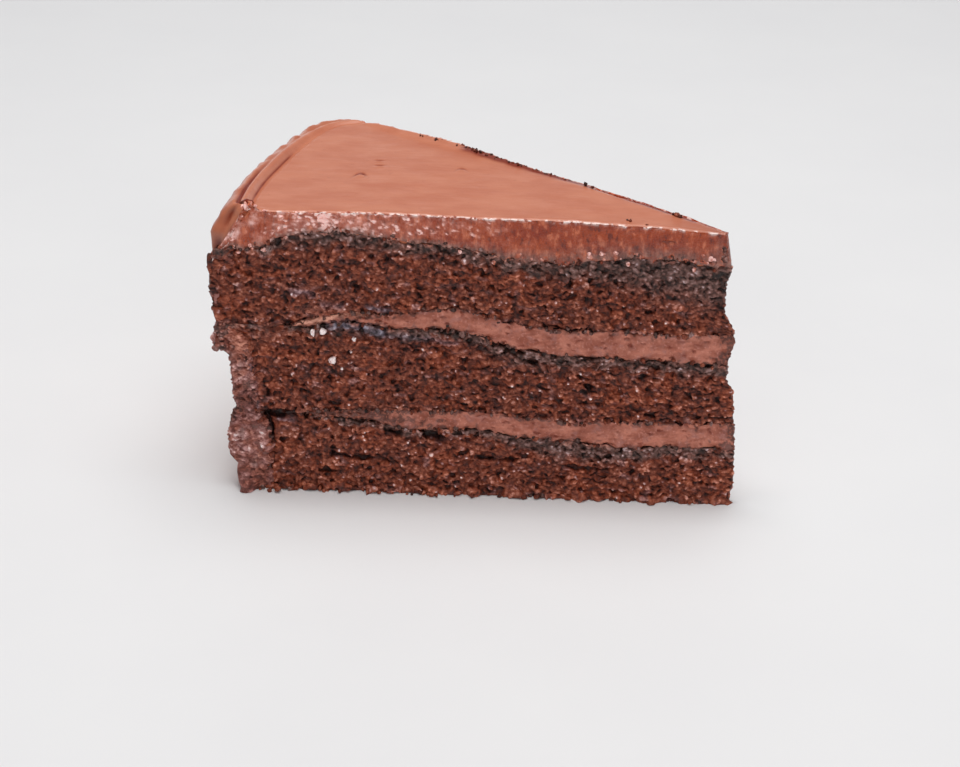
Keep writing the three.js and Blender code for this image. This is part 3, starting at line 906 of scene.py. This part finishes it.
class Recipe:
    """The nodes of one material, with places in millimetres."""

    def __init__(self, name):
        self.material = bpy.data.materials.new(name)
        self.material.use_nodes = True
        self.tree = self.material.node_tree
        self.shader = self.tree.nodes["Principled BSDF"]
        place = self.tree.nodes.new("ShaderNodeTexCoord")
        self.place = self.scaled(place.outputs["Object"], (1 / MM, 1 / MM, 1 / MM))

    def connect(self, inputs, values):
        """Links or sets inputs, given by their name or number."""
        for socket, value in values.items():
            if isinstance(value, bpy.types.NodeSocket):
                self.tree.links.new(value, inputs[socket])
            else:
                inputs[socket].default_value = value

    def node(self, kind, values, **settings):
        node = self.tree.nodes.new("ShaderNode" + kind)
        for setting, value in settings.items():
            setattr(node, setting, value)
        self.connect(node.inputs, values)
        return node

    def scaled(self, vector, scale):
        return self.node("Mapping", {"Vector": vector, "Scale": scale}).outputs["Vector"]

    def noise(self, size, detail=3, roughness=0.55, stretch=(1, 1, 1)):
        stretched = self.scaled(self.place, tuple(1 / (size * part) for part in stretch))
        values = {"Vector": stretched, "Scale": 1, "Detail": detail, "Roughness": roughness}
        return self.node("TexNoise", values).outputs["Fac"]

    def attribute(self, name):
        return self.node("Attribute", {}, attribute_name=name).outputs["Fac"]

    def math(self, operation, first, second, clamp=False):
        node = self.node("Math", {0: first, 1: second}, operation=operation, use_clamp=clamp)
        return node.outputs["Value"]

    def range(self, value, low, high, to_low=0.0, to_high=1.0):
        values = {"Value": value, "From Min": low, "From Max": high, "To Min": to_low, "To Max": to_high}
        return self.node("MapRange", values, interpolation_type="SMOOTHSTEP").outputs["Result"]

    def blend(self, share, first, second):
        return self.node("Mix", {"Factor": share, 6: first, 7: second}, data_type="RGBA").outputs[2]

    def share(self, name, amount=1.0, pattern=1.0):
        """How far a colour covers what lies below it: a named value of the mesh, broken up by a pattern."""
        broken = self.math("MULTIPLY", self.attribute(name), pattern)
        return self.math("MULTIPLY", broken, amount, clamp=True)

    def cover(self, base, *layers):
        """A base covered by layers, each with its share and its colour."""
        for share, colour in layers:
            base = self.blend(share, base, colour)
        return base

    def ramp(self, value, *stops):
        """Colours on the cuts, by a value: each stop has its place and its red, green and blue."""
        node = self.node("ValToRGB", {"Fac": value})
        elements = node.color_ramp.elements
        while len(elements) < len(stops):
            elements.new(0.5)
        for element, (place, *colour) in zip(elements, stops):
            element.position = place
            element.color = on_cut(*colour)
        return node.outputs["Color"]

    def bump(self, height, distance, below=None):
        values = {"Height": height, "Distance": distance * MM}
        if below is not None:
            values["Normal"] = below
        return self.node("Bump", values).outputs["Normal"]

    def finish(self, colour, roughness, normal, specular):
        self.connect(self.shader.inputs, {
            "Base Color": colour, "Roughness": roughness, "Normal": normal, "Specular IOR Level": specular})
        return self.material


def make_crumb_material():
    recipe = Recipe("crumb")
    speck = recipe.noise(0.4, 3, 0.6, (1.3, 1.3, 0.9))
    grain = recipe.range(speck, 0.25, 0.75, -0.12, 0.12)
    level = recipe.math("ADD", recipe.attribute("tone"), grain, clamp=True)
    # The ramp's dark end is painted shade in holes, and its pale pink light end is a painted highlight on
    # grain tops.
    plain = recipe.ramp(
        level, (0, 20, 2, 1), (0.2, 52, 13, 5), (0.5, 103, 45, 27), (0.75, 136, 75, 55), (1, 200, 142, 128))
    warm = recipe.ramp(level, (0, 34, 5, 1), (0.5, 124, 53, 27), (1, 192, 110, 78))
    pale = recipe.ramp(level, (0, 34, 12, 8), (0.5, 112, 74, 72), (0.8, 180, 138, 136), (1, 236, 222, 220))
    crust = recipe.ramp(
        level, (0, 16, 5, 3), (0.3, 48, 30, 26), (0.55, 94, 66, 60), (0.8, 132, 104, 101), (1, 196, 180, 186))
    cool = recipe.ramp(level, (0, 18, 12, 14), (0.5, 82, 72, 82), (1, 170, 164, 180))
    cream = recipe.ramp(level, (0, 96, 48, 38), (0.5, 146, 88, 74), (1, 206, 146, 126))
    base = recipe.cover(
        plain,
        (recipe.share("warm", 0.55), warm),
        # pale: the crumb's own pale patches and bits, and the glint specks, which are a painted highlight.
        (recipe.attribute("pale"), pale),
        (recipe.share("crust", 0.92), crust),
        (recipe.share("cool", 0.85), cool),
        (recipe.share("smear", 0.85, recipe.range(speck, 0.3, 0.55)), cream))
    dry = recipe.range(speck, 0.3, 0.7, 0.66, 0.42)
    roughness = recipe.math("SUBTRACT", dry, recipe.share("crust", 0.2))
    normal = recipe.bump(speck, 0.18, recipe.bump(recipe.noise(0.8, 3, 0.6, (1.2, 1.2, 0.9)), 0.22))
    return recipe.finish(base, roughness, normal, 0.4)


def make_filling_material():
    recipe = Recipe("filling")
    broad = recipe.noise(3.0, 3, 0.55, (1.5, 1.5, 0.8))
    patches = recipe.noise(2.2, 3, 0.55, (1.2, 1.2, 1.2))
    fine = recipe.noise(0.6, 3, 0.6)
    dirt = recipe.ramp(patches, (0.35, 52, 22, 16), (0.65, 96, 62, 56))
    cool = recipe.ramp(fine, (0.3, 48, 40, 46), (0.7, 120, 112, 126))
    base = recipe.cover(
        on_cut(133, 72, 56),
        (recipe.range(broad, 0.35, 0.65), on_cut(168, 104, 86)),
        (recipe.range(patches, 0.5, 0.7, 0, 0.55), on_cut(142, 96, 90)),
        (recipe.range(fine, 0.52, 0.75, 0, 0.5), on_cut(192, 134, 122)),
        (recipe.range(fine, 0.25, 0.42, 0.5, 0), on_cut(104, 52, 40)),
        # Pits: painted shade.
        (recipe.share("pits", 0.8), on_cut(112, 48, 34)),
        (recipe.share("smear", 0.85, recipe.range(fine, 0.35, 0.5)), dirt),
        (recipe.share("cool", 0.9), cool),
        (recipe.share("clean", 1.0, recipe.range(fine, 0.25, 0.5)), on_cut(198, 142, 122)))
    roughness = recipe.range(fine, 0.3, 0.7, 0.52, 0.36)
    normal = recipe.bump(fine, 0.12, recipe.bump(broad, 0.3))
    return recipe.finish(base, roughness, normal, 0.35)


def make_frosting_material():
    recipe = Recipe("frosting")
    broad = recipe.noise(7, 3, 0.5, (1.6, 0.9, 0.7))
    streak = recipe.noise(2.4, 3, 0.55, (2.2, 0.8, 0.6))
    fine = recipe.noise(0.5, 3, 0.6)
    dirt = recipe.noise(1.6, 4, 0.6)
    drag = recipe.noise(1.1, 3, 0.6, (1.0, 1.0, 2.4))
    top = recipe.cover(
        linear(185, 107, 78),
        (recipe.range(broad, 0.35, 0.65), linear(194, 119, 90)),
        (recipe.range(streak, 0.5, 0.75, 0, 0.3), linear(200, 124, 98)),
        (recipe.range(recipe.noise(1.1, 2, 0.5), 0.62, 0.75, 0, 0.35), linear(168, 92, 66)),
        # Painted shade on the side of the shoulder and coat.
        (recipe.share("side", 0.6), linear(160, 80, 50)))
    foam_and_painted_glints = recipe.share("foam_and_painted_glints", 1.0, recipe.range(dirt, 0.3, 0.7, 0.3, 1.3))
    soil = recipe.cover(on_cut(86, 60, 54), (recipe.range(drag, 0.35, 0.65), on_cut(132, 92, 82)))
    coat = recipe.cover(
        on_cut(104, 58, 50),
        (recipe.range(broad, 0.35, 0.65), on_cut(136, 86, 78)),
        (recipe.range(dirt, 0.52, 0.68, 0, 0.7), on_cut(74, 40, 34)))
    # The cuts' colours are darker and more saturated than the top's: painted shade for the lower light that
    # the cuts get.
    cut_with_painted_shade = recipe.cover(
        on_cut(122, 36, 5),
        (recipe.range(broad, 0.3, 0.7), on_cut(146, 56, 15)),
        (recipe.range(drag, 0.5, 0.7, 0, 0.65), on_cut(192, 108, 76)),
        (recipe.range(drag, 0.28, 0.46, 0.9, 0), on_cut(88, 22, 5)),
        # The foam's pale pink: cream bubbles, and a painted sheen and painted glints.
        (foam_and_painted_glints, recipe.ramp(foam_and_painted_glints, (0.25, 208, 146, 130), (0.75, 233, 189, 182))),
        (recipe.share("border", 0.9, recipe.range(dirt, 0.28, 0.55)), soil),
        (recipe.attribute("lower"), coat))
    cut = recipe.attribute("cut")
    base = recipe.cover(
        top,
        (cut, cut_with_painted_shade),
        # Painted shade in grooves, creases, folds, dents and slits, and the dark crumb line by the back edge.
        (recipe.share("painted_shade_and_crumb_line", 0.95), linear(122, 36, 6)),
        # Painted highlight along the edges.
        (recipe.share("painted_glint", 1.0, recipe.range(dirt, 0.46, 0.58, 0, 1.7)), linear(255, 236, 230)))
    wet = recipe.math("MAXIMUM", cut, recipe.share("side", 0.8))
    dry_roughness = recipe.range(streak, 0.3, 0.7, 0.46, 0.38)
    wet_roughness = recipe.range(fine, 0.3, 0.7, 0.34, 0.16)
    roughness = recipe.math("ADD", recipe.math("MULTIPLY", wet, wet_roughness),
                            recipe.math("MULTIPLY", recipe.math("SUBTRACT", 1.0, wet), dry_roughness))
    grain = recipe.math("MULTIPLY", fine, recipe.math("ADD", recipe.math("MULTIPLY", cut, 0.85), 0.15))
    normal = recipe.bump(grain, 0.14, recipe.bump(streak, 0.05))
    return recipe.finish(base, roughness, normal, 0.5)


crumb_material = make_crumb_material()
filling_material = make_filling_material()
frosting_material = make_frosting_material()


# ---- The slice ----
def base_at(radius, turn):
    return np.zeros_like(radius)


def side_of(filling, side):
    """A filling's underside (-1) or upper side (1), as a height by radius and turn."""
    return lambda radius, turn: filling_surface(filling, side, radius, turn)


# The bottom layer is painted a little lighter, as painted light for the lower light that reaches the cut near
# the floor.
cake_layer("cake_bottom", base_at, side_of("filling_lower", -1), 0.05)
cake_layer("cake_middle", side_of("filling_lower", 1), side_of("filling_upper", -1))
cake_layer("cake_top", side_of("filling_upper", 1), frosting_underside_at)
filling_layer("filling_lower")
filling_layer("filling_upper")
frosting()


# ---- Loose crumbs and drops ----
scatter = np.random.default_rng(23)

# Crumbs along a filling's and the frosting's border: from and to a radius with their spacing, lowest and
# highest above the border, smallest and largest half size.
filling_border = ((4, 98, 1.7), (-0.5, 0.5), (0.25, 0.6))
frosting_border = ((3, 109, 1.5), (-0.3, 1.0), (0.2, 0.5))
# The one large crumb at the foot of the front cut: radius, height, distance from the cut, half size.
large_base_crumb = (105.5, 0.9, 2.6, 0.95)
# Pale bits on the middle layer's front cut: radius, height, half size.
pale_bits = [
    (93.8, 39.9, 0.72), (91.5, 40.0, 0.68), (84.8, 38.3, 0.62), (90.5, 32.9, 0.66), (86.0, 35.1, 0.38),
    (88.6, 30.8, 0.32),
]
# Crumbs on the top: radius, turn, half size.
top_crumbs = [
    (14.7, 0.83, 0.6), (13.7, 0.8, 0.5), (15.6, 0.84, 0.4), (23.2, 0.145, 0.45), (23.9, 0.17, 0.3),
    (19.6, 0.05, 0.25), (39.5, 0.965, 0.45), (37.4, 0.955, 0.4),
]
# Chunks of crumb on the front cut, beside the coat, at the frosting's rim end and at the tip: radius,
# height, and half its width, depth and height.
coat_chunks = [
    (114.6, 36.5, 2.1, 1.9, 2.1), (114.2, 39.6, 2.0, 1.8, 2.2), (112.6, 35.6, 1.3, 1.1, 1.2),
    (116.2, 35.0, 0.8, 0.9, 0.7), (113.2, 57.6, 1.5, 1.0, 1.1), (111.0, 56.6, 1.3, 0.7, 0.9),
    (2.6, 62.4, 0.8, 0.8, 1.0), (2.4, 60.2, 0.8, 0.7, 0.8), (4.6, 59.4, 0.7, 0.6, 0.6),
]
# Glossy drops on the front cut of the frosting, pale partly as cream and partly as a painted highlight:
# radius, height, half size.
cut_drops = [
    (106.6, 68.6, 0.75), (104.6, 69.4, 0.5), (102.6, 68.2, 0.42), (101.3, 67.8, 0.5), (107.6, 66.8, 0.4),
    (106.7, 69.3, 0.75), (105.4, 69.6, 0.5), (107.4, 68.9, 0.5),
    (109.9, 61.1, 0.6), (109.6, 59.6, 0.5), (108.6, 58.4, 0.45), (105.5, 59.2, 0.5), (102.9, 59.0, 0.6),
    (98.0, 62.1, 0.4), (95.6, 67.9, 0.45), (93.2, 67.9, 0.4), (89.0, 67.8, 0.35), (86.6, 67.9, 0.5),
    (31.8, 60.6, 0.55), (29.0, 60.7, 0.5), (26.0, 61.0, 0.45), (23.2, 58.6, 0.6), (13.8, 60.3, 0.4),
    (8.8, 57.7, 0.5), (5.4, 60.3, 0.7), (4.6, 60.1, 0.5), (7.1, 61.2, 0.4), (52.5, 57.9, 0.6),
    (60.0, 60.2, 0.4), (71.0, 61.0, 0.45), (77.5, 63.6, 0.65),
]
drop_spacing, edge_drop_spacing, drop_flatness = 4.5, 2.1, 0.55
# How often a round lump's faces are divided, for a crumb or drop and for a chunk.
crumb_rounds, chunk_rounds = 2, 5


def cut_place(radius, height, cut, solid, out):
    """Places on the front cut (0) or the back cut (1) of a solid, standing out from it."""
    radius, height = np.asarray(radius, float), np.asarray(height, float)
    turn = np.full(len(radius), float(cut))
    places = push_cuts(wedge_point(radius, turn, height), radius, turn, solid)
    return places + np.asarray(out, float).reshape(-1, 1) * cut_direction(cut)


def ball(subdivisions):
    shape = bmesh.new()
    bmesh.ops.create_icosphere(shape, subdivisions=subdivisions, radius=1)
    points = np.array([vertex.co for vertex in shape.verts])
    faces = [[vertex.index for vertex in face.verts] for face in shape.faces]
    shape.free()
    return points, np.array(faces)


def lump_shapes(places, sizes, unevenness):
    """The points and faces of one uneven lump at each place."""
    points, faces = ball(crumb_rounds)
    all_points, all_faces = [], []
    for index, (place, size) in enumerate(zip(places, sizes)):
        stretch = scatter.uniform(0.6, 1.3, 3)
        shifted = points + 7.3 * index
        dents = 1 + unevenness * (noise(shifted, 0.8, 131) + 0.5 * noise(shifted, 0.4, 134))
        all_points.append(place + size * stretch * points * dents[:, None])
        all_faces.append(faces + index * len(points))
    all_points = np.concatenate(all_points)
    all_points[:, 2] = np.maximum(all_points[:, 2], 0)
    return all_points, np.concatenate(all_faces)


def crumb_lumps(name, places, sizes, tones, crust, pale):
    """Loose crumbs as one piece, each with its own tone."""
    points, faces = lump_shapes(places, sizes, 0.6)
    each = len(points) // len(places)
    attributes = {
        "tone": np.clip(np.repeat(tones, each) + 0.25 * noise(points, 0.5, 132), 0, 1),
        "crust": np.repeat(crust, each), "pale": np.repeat(pale, each), "warm": np.full(len(points), 0.2),
    }
    make_piece(name, points, faces, crumb_material, attributes)


def crumb_chunks():
    """Chunks of crumb large enough to show their own grain."""
    ball_points, ball_faces = ball(chunk_rounds)
    all_points, all_faces, all_tones = [], [], []
    for index, (radius, height, *halves) in enumerate(coat_chunks):
        place = cut_place([radius], [height], 0, "frosting", -0.35 * halves[1])
        points = place + ball_points * halves
        relief, tone, _ = crumb_relief(points, 140)
        relief = min(1, halves[0]) * (0.7 * relief + 0.5 * noise(points, 1.7, 141))
        all_points.append(points + ball_points * relief[:, None])
        all_faces.append(ball_faces + index * len(ball_points))
        all_tones.append(tone)
    points = np.concatenate(all_points)
    attributes = {
        "tone": np.concatenate(all_tones),
        "crust": 0.8 * smooth_step(-0.2, 0.3, noise(points, 2.2, 142)),
        "warm": np.full(len(points), 0.3), "pale": np.full(len(points), 0.2),
    }
    make_piece("crumbs_chunks", points, np.concatenate(all_faces), crumb_material, attributes)


# ---- The torn skin on the coat's front cut ----
skin_top, skin_bite, skin_depth, skin_edge = 42.0, 0.5, 1.3, 0.7
skin_columns, skin_layers = 34, 3
# How light the skin is, at heights going up, and the smooth reddish patch of cream in it.
skin_heights = [0, 3, 8, 11, 13.5, 16, 19, 22, 25, 29, 33, 36, 40, 43]
skin_tones = [0.38, 0.48, 0.64, 0.66, 0.7, 0.56, 0.46, 0.4, 0.48, 0.7, 0.54, 0.6, 0.74, 0.66]
red_radius, red_height, red_half_width, red_half_height = 110.6, 37.0, 2.0, 4.0


def coat_skin():
    """Cream and crumb that the knife tore and smeared over the coat's front cut."""
    rows = round(skin_top / grid)
    cells, faces = block_lattice((skin_columns, skin_layers, rows))
    along, deep, up = cells.T
    height = skin_top * up / rows
    front = np.zeros(len(height))
    uneven = np.interp(height, coat_heights, coat_outs)
    inner = coat_inner_radius(front, height) - skin_bite
    outer = coat_outer_radius(front, height) + uneven + 0.1
    radius = mix(inner, outer, along / skin_columns)
    turn = skin_depth * deep / skin_layers / (rim_radius * wedge_angle)
    points = push_cuts(wedge_point(radius, turn, height), radius, turn, "frosting")
    normals = point_normals(points, faces)
    relief, tone, glint_specks = crumb_relief(points, 150)
    smooth = hump(radius - red_radius, red_half_width) * hump(height - red_height, red_half_height)
    lumps = 0.5 * noise(points, (3, 3, 2.4), 151)
    to_edge = np.minimum(np.minimum(radius - inner, outer - radius), skin_top - height)
    sunk = 0.5 * (1 - smooth_step(0, skin_edge, to_edge))
    out = lumps + (0.9 - 0.6 * smooth) * relief - sunk + 0.55
    points = points + normals * np.where(deep < skin_layers, out, 0)[:, None]
    points[:, 1] -= foot_blob_at(radius, height) * (deep == 0)
    points[:, 2] = np.maximum(points[:, 2], 0)
    patches = noise(points, (2.4, 2.4, 1.8), 152)
    level = np.interp(height, skin_heights, skin_tones) + 0.7 * (tone - 0.5) + 0.2 * patches
    attributes = {
        "tone": np.clip(level + 0.06 * smooth, 0, 1),
        "crust": 0.6 * smooth_step(0.2, 0.55, noise(points, (2.8, 2.8, 3.5), 153)) * (1 - smooth),
        "warm": 0.4 + 0.6 * smooth,
        "pale": np.clip(0.45 + 0.5 * patches - 0.6 * smooth, 0, 1) + glint_specks * 0.3,
        "smear": np.maximum(smooth, 0.6 * smooth_step(0, 0.4, -patches)),
    }
    make_piece("coat_skin", points, faces, crumb_material, attributes)


def along_line(low, high, spacing):
    """Uneven places along a line."""
    count = round((high - low) / spacing)
    return np.sort(scatter.uniform(low, high, count))


def joined(groups):
    """The places and the sizes of several groups of crumbs or drops."""
    places, sizes = zip(*groups)
    return np.concatenate(places), np.concatenate(sizes)


def crumbs_along(surface, cut, solid, line, rises, sizes):
    """Places and sizes of crumbs that cling to a solid's cut where a surface meets it."""
    radius = along_line(*line)
    height = surface(radius, np.full(len(radius), float(cut))) + scatter.uniform(*rises, len(radius))
    size = scatter.uniform(*sizes, len(radius))
    return cut_place(radius, height, cut, solid, 0.1 * size), size


def border_crumbs():
    """Places and sizes of the crumbs along the borders of the cream, on both cuts."""
    groups = []
    for cut in (0, 1):
        for name in fillings:
            for side in (-1, 1):
                groups.append(crumbs_along(side_of(name, side), cut, name, *filling_border))
        groups.append(crumbs_along(frosting_underside_at, cut, "frosting", *frosting_border))
    return joined(groups)


def base_crumbs():
    """Places and sizes of the crumbs that lie along the foot of both cuts."""
    groups = []
    for cut, spacing in ((0, 1.5), (1, 2.2)):
        radius = along_line(4, 112, spacing)
        size = scatter.uniform(0.25, 0.7, len(radius))
        out = scatter.uniform(0.2, 2.0, len(radius))
        groups.append((cut_place(radius, 0.8 * size, cut, "cake_bottom", out), size))
    radius, height, out, size = large_base_crumb
    groups.append((cut_place([radius], [height], 0, "cake_bottom", out), [size]))
    return joined(groups)


def coat_crumbs():
    """Places and sizes of the crumbs stuck along the inner edge of the coat's cut."""
    height = along_line(3, 36, 1.3)
    inner = coat_inner_radius(np.zeros(len(height)), height)
    size = scatter.uniform(0.3, 0.7, len(height))
    radius = inner + scatter.uniform(-0.6, 0.9, len(height))
    return cut_place(radius, height, 0, "frosting", 0.2 * size), size


def edge_crumbs():
    """Places and sizes of the dark crumbs along the back edge of the top, and of the few on the top."""
    near, far = along_line(44, 74, 0.42), along_line(74, 90, 0.5)
    far = far[noise(np.stack([far, far, far], axis=1), 5, 133) > 0]
    radius = np.concatenate([near, far])
    turn = np.ones(len(radius))
    rise = np.interp(radius, back_edge_radii, back_edge_rises)
    height = frosting_top_at(radius, turn) + rise - scatter.uniform(0.3, 0.7, len(radius))
    size = scatter.uniform(0.2, 0.45, len(radius))
    on_edge = cut_place(radius, height, 1, "frosting", scatter.uniform(-0.9, -0.1, len(radius)))
    top_radius, top_turn, top_size = np.array(top_crumbs).T
    on_top = wedge_point(top_radius, top_turn, frosting_top_at(top_radius, top_turn) + 0.2 * top_size)
    return joined([(on_edge, size), (on_top, top_size)])


def loose_crumbs():
    """All the crumbs: each kind has a usual tone, and a share of its crumbs is crust."""
    for name, (places, sizes), light, crust in (
            ("crumbs_border", border_crumbs(), 0.45, 0.5), ("crumbs_base", base_crumbs(), 0.5, 0.1),
            ("crumbs_coat", coat_crumbs(), 0.4, 0.4), ("crumbs_edge", edge_crumbs(), 0.3, 0)):
        count = len(places)
        tones = np.clip(scatter.normal(light, 0.15, count), 0, 1)
        is_crust = (scatter.random(count) < crust).astype(float)
        crumb_lumps(name, places, sizes, tones, is_crust, np.zeros(count))
    radius, height, size = np.array(pale_bits).T
    places = cut_place(radius, height, 0, "cake_middle", 0.6 * size)
    crumb_lumps("bits_pale", places, size, np.ones(len(size)), np.zeros(len(size)), np.ones(len(size)))


def frosting_drops():
    """Small glossy drops on both cuts of the frosting: along its lower border, its top edge, and set ones."""
    groups = []
    for cut in (0, 1):
        for above, spacing, small, large in ((0, drop_spacing, 0.3, 0.6), (1, edge_drop_spacing, 0.16, 0.36)):
            radius = along_line(40 if above else 5, 108, spacing)
            turn = np.full(len(radius), float(cut))
            low = frosting_underside_at(radius, turn) + scatter.uniform(0.3, 1.1, len(radius))
            high = frosting_top_at(radius, turn) - scatter.uniform(0.1, 0.5, len(radius))
            size = scatter.uniform(small, large, len(radius))
            groups.append((cut_place(radius, high if above else low, cut, "frosting", -0.2 * size), size))
    radius, height, size = np.array(cut_drops).T
    groups.append((cut_place(radius, height, 0, "frosting", 0), size))
    places, sizes = joined(groups)
    points, faces = lump_shapes(places, sizes, 0.5)
    each = len(points) // len(places)
    centres = np.repeat(places, each, axis=0)
    points[:, 1] = mix(centres[:, 1], points[:, 1], drop_flatness)
    # How pale each drop is: partly pale cream, partly a painted highlight, most of all along the top edge.
    foam_and_painted_glints = np.repeat(scatter.uniform(0.2, 0.8, len(places)), each)
    foam_and_painted_glints[-each * len(cut_drops):] = 0.8
    foam_and_painted_glints *= 0.9 + 0.9 * noise(points, 0.6, 135)
    attributes = {"cut": np.ones(len(points)), "foam_and_painted_glints": foam_and_painted_glints}
    make_piece("frosting_drops", points, faces, frosting_material, attributes)


coat_skin()
crumb_chunks()
loose_crumbs()
frosting_drops()


# ---- Floor, light and camera ----
floor_half_width = 4.0


def make_floor():
    mesh = bpy.data.meshes.new("floor")
    far = floor_half_width
    mesh.from_pydata([(-far, -far, 0), (far, -far, 0), (far, far, 0), (-far, far, 0)], [], [(0, 1, 2, 3)])
    recipe = Recipe("floor")
    tint = recipe.noise(60, 3)
    colour = recipe.blend(tint, linear(226, 226, 228), linear(232, 232, 233))
    mesh.materials.append(recipe.finish(colour, 0.6, recipe.bump(tint, 0.1), 0.3))
    floor = bpy.data.objects.new("floor", mesh)
    bpy.context.scene.collection.objects.link(floor)


# Soft lights, in metres: name, place, width and height, power in watts, colour. All point at one middle.
light_middle = (0, 0, 0.035)
soft_lights = [
    ("softbox_above", (0.1, 0.05, 1.0), (0.8, 0.7), 6.5, (1, 0.985, 0.97)),
    ("key_above", (-0.15, 0.0, 0.95), (0.25, 0.25), 2.5, (1, 0.99, 0.97)),
    ("panel_back", (0, 1.1, 0.17), (1.8, 0.3), 2.4, (0.97, 0.98, 1)),
    ("panel_front", (0.1, -1.0, 0.4), (1.2, 0.6), 3.0, (1, 0.985, 0.97)),
]


def make_lights():
    for name, place, size, power, colour in soft_lights:
        light = bpy.data.lights.new(name, "AREA")
        light.shape = "RECTANGLE"
        light.size, light.size_y = size
        light.energy = power
        light.color = colour
        lamp = bpy.data.objects.new(name, light)
        lamp.location = place
        lamp.rotation_euler = (Vector(light_middle) - Vector(place)).to_track_quat("-Z", "Y").to_euler()
        bpy.context.scene.collection.objects.link(lamp)
    world = bpy.data.worlds.new("room")
    world.use_nodes = True
    background = world.node_tree.nodes["Background"]
    background.inputs["Color"].default_value = (0.93, 0.95, 0.98, 1)
    background.inputs["Strength"].default_value = 0.2
    bpy.context.scene.world = world


# The camera's place from the bottom front corner of the tip, in millimetres, and where it looks.
camera_offset = (-43.3, -430.6, 238.2)
camera_yaw, camera_pitch, camera_roll = math.radians(1.889), math.radians(25.97), math.radians(1.13)
camera_lens = 80


def make_camera():
    level = np.array([-math.sin(camera_yaw), math.cos(camera_yaw), 0])
    right = np.array([math.cos(camera_yaw), math.sin(camera_yaw), 0])
    forward = math.cos(camera_pitch) * level - math.sin(camera_pitch) * np.array([0, 0, 1])
    up = math.sin(camera_pitch) * level + math.cos(camera_pitch) * np.array([0, 0, 1])
    right_side = math.cos(camera_roll) * right + math.sin(camera_roll) * up
    upward = math.cos(camera_roll) * up - math.sin(camera_roll) * right
    data = bpy.data.cameras.new("camera")
    data.lens = camera_lens
    data.sensor_width = 36
    data.clip_start = 0.01
    camera = bpy.data.objects.new("camera", data)
    turned = Matrix((right_side, upward, -forward)).transposed().to_4x4()
    place = to_frame(front_corner_local) + np.array(camera_offset) * MM
    camera.matrix_world = Matrix.Translation(Vector(place)) @ turned
    bpy.context.scene.collection.objects.link(camera)
    bpy.context.scene.camera = camera


make_floor()
make_lights()
make_camera()
bpy.context.scene.view_settings.view_transform = "Standard"
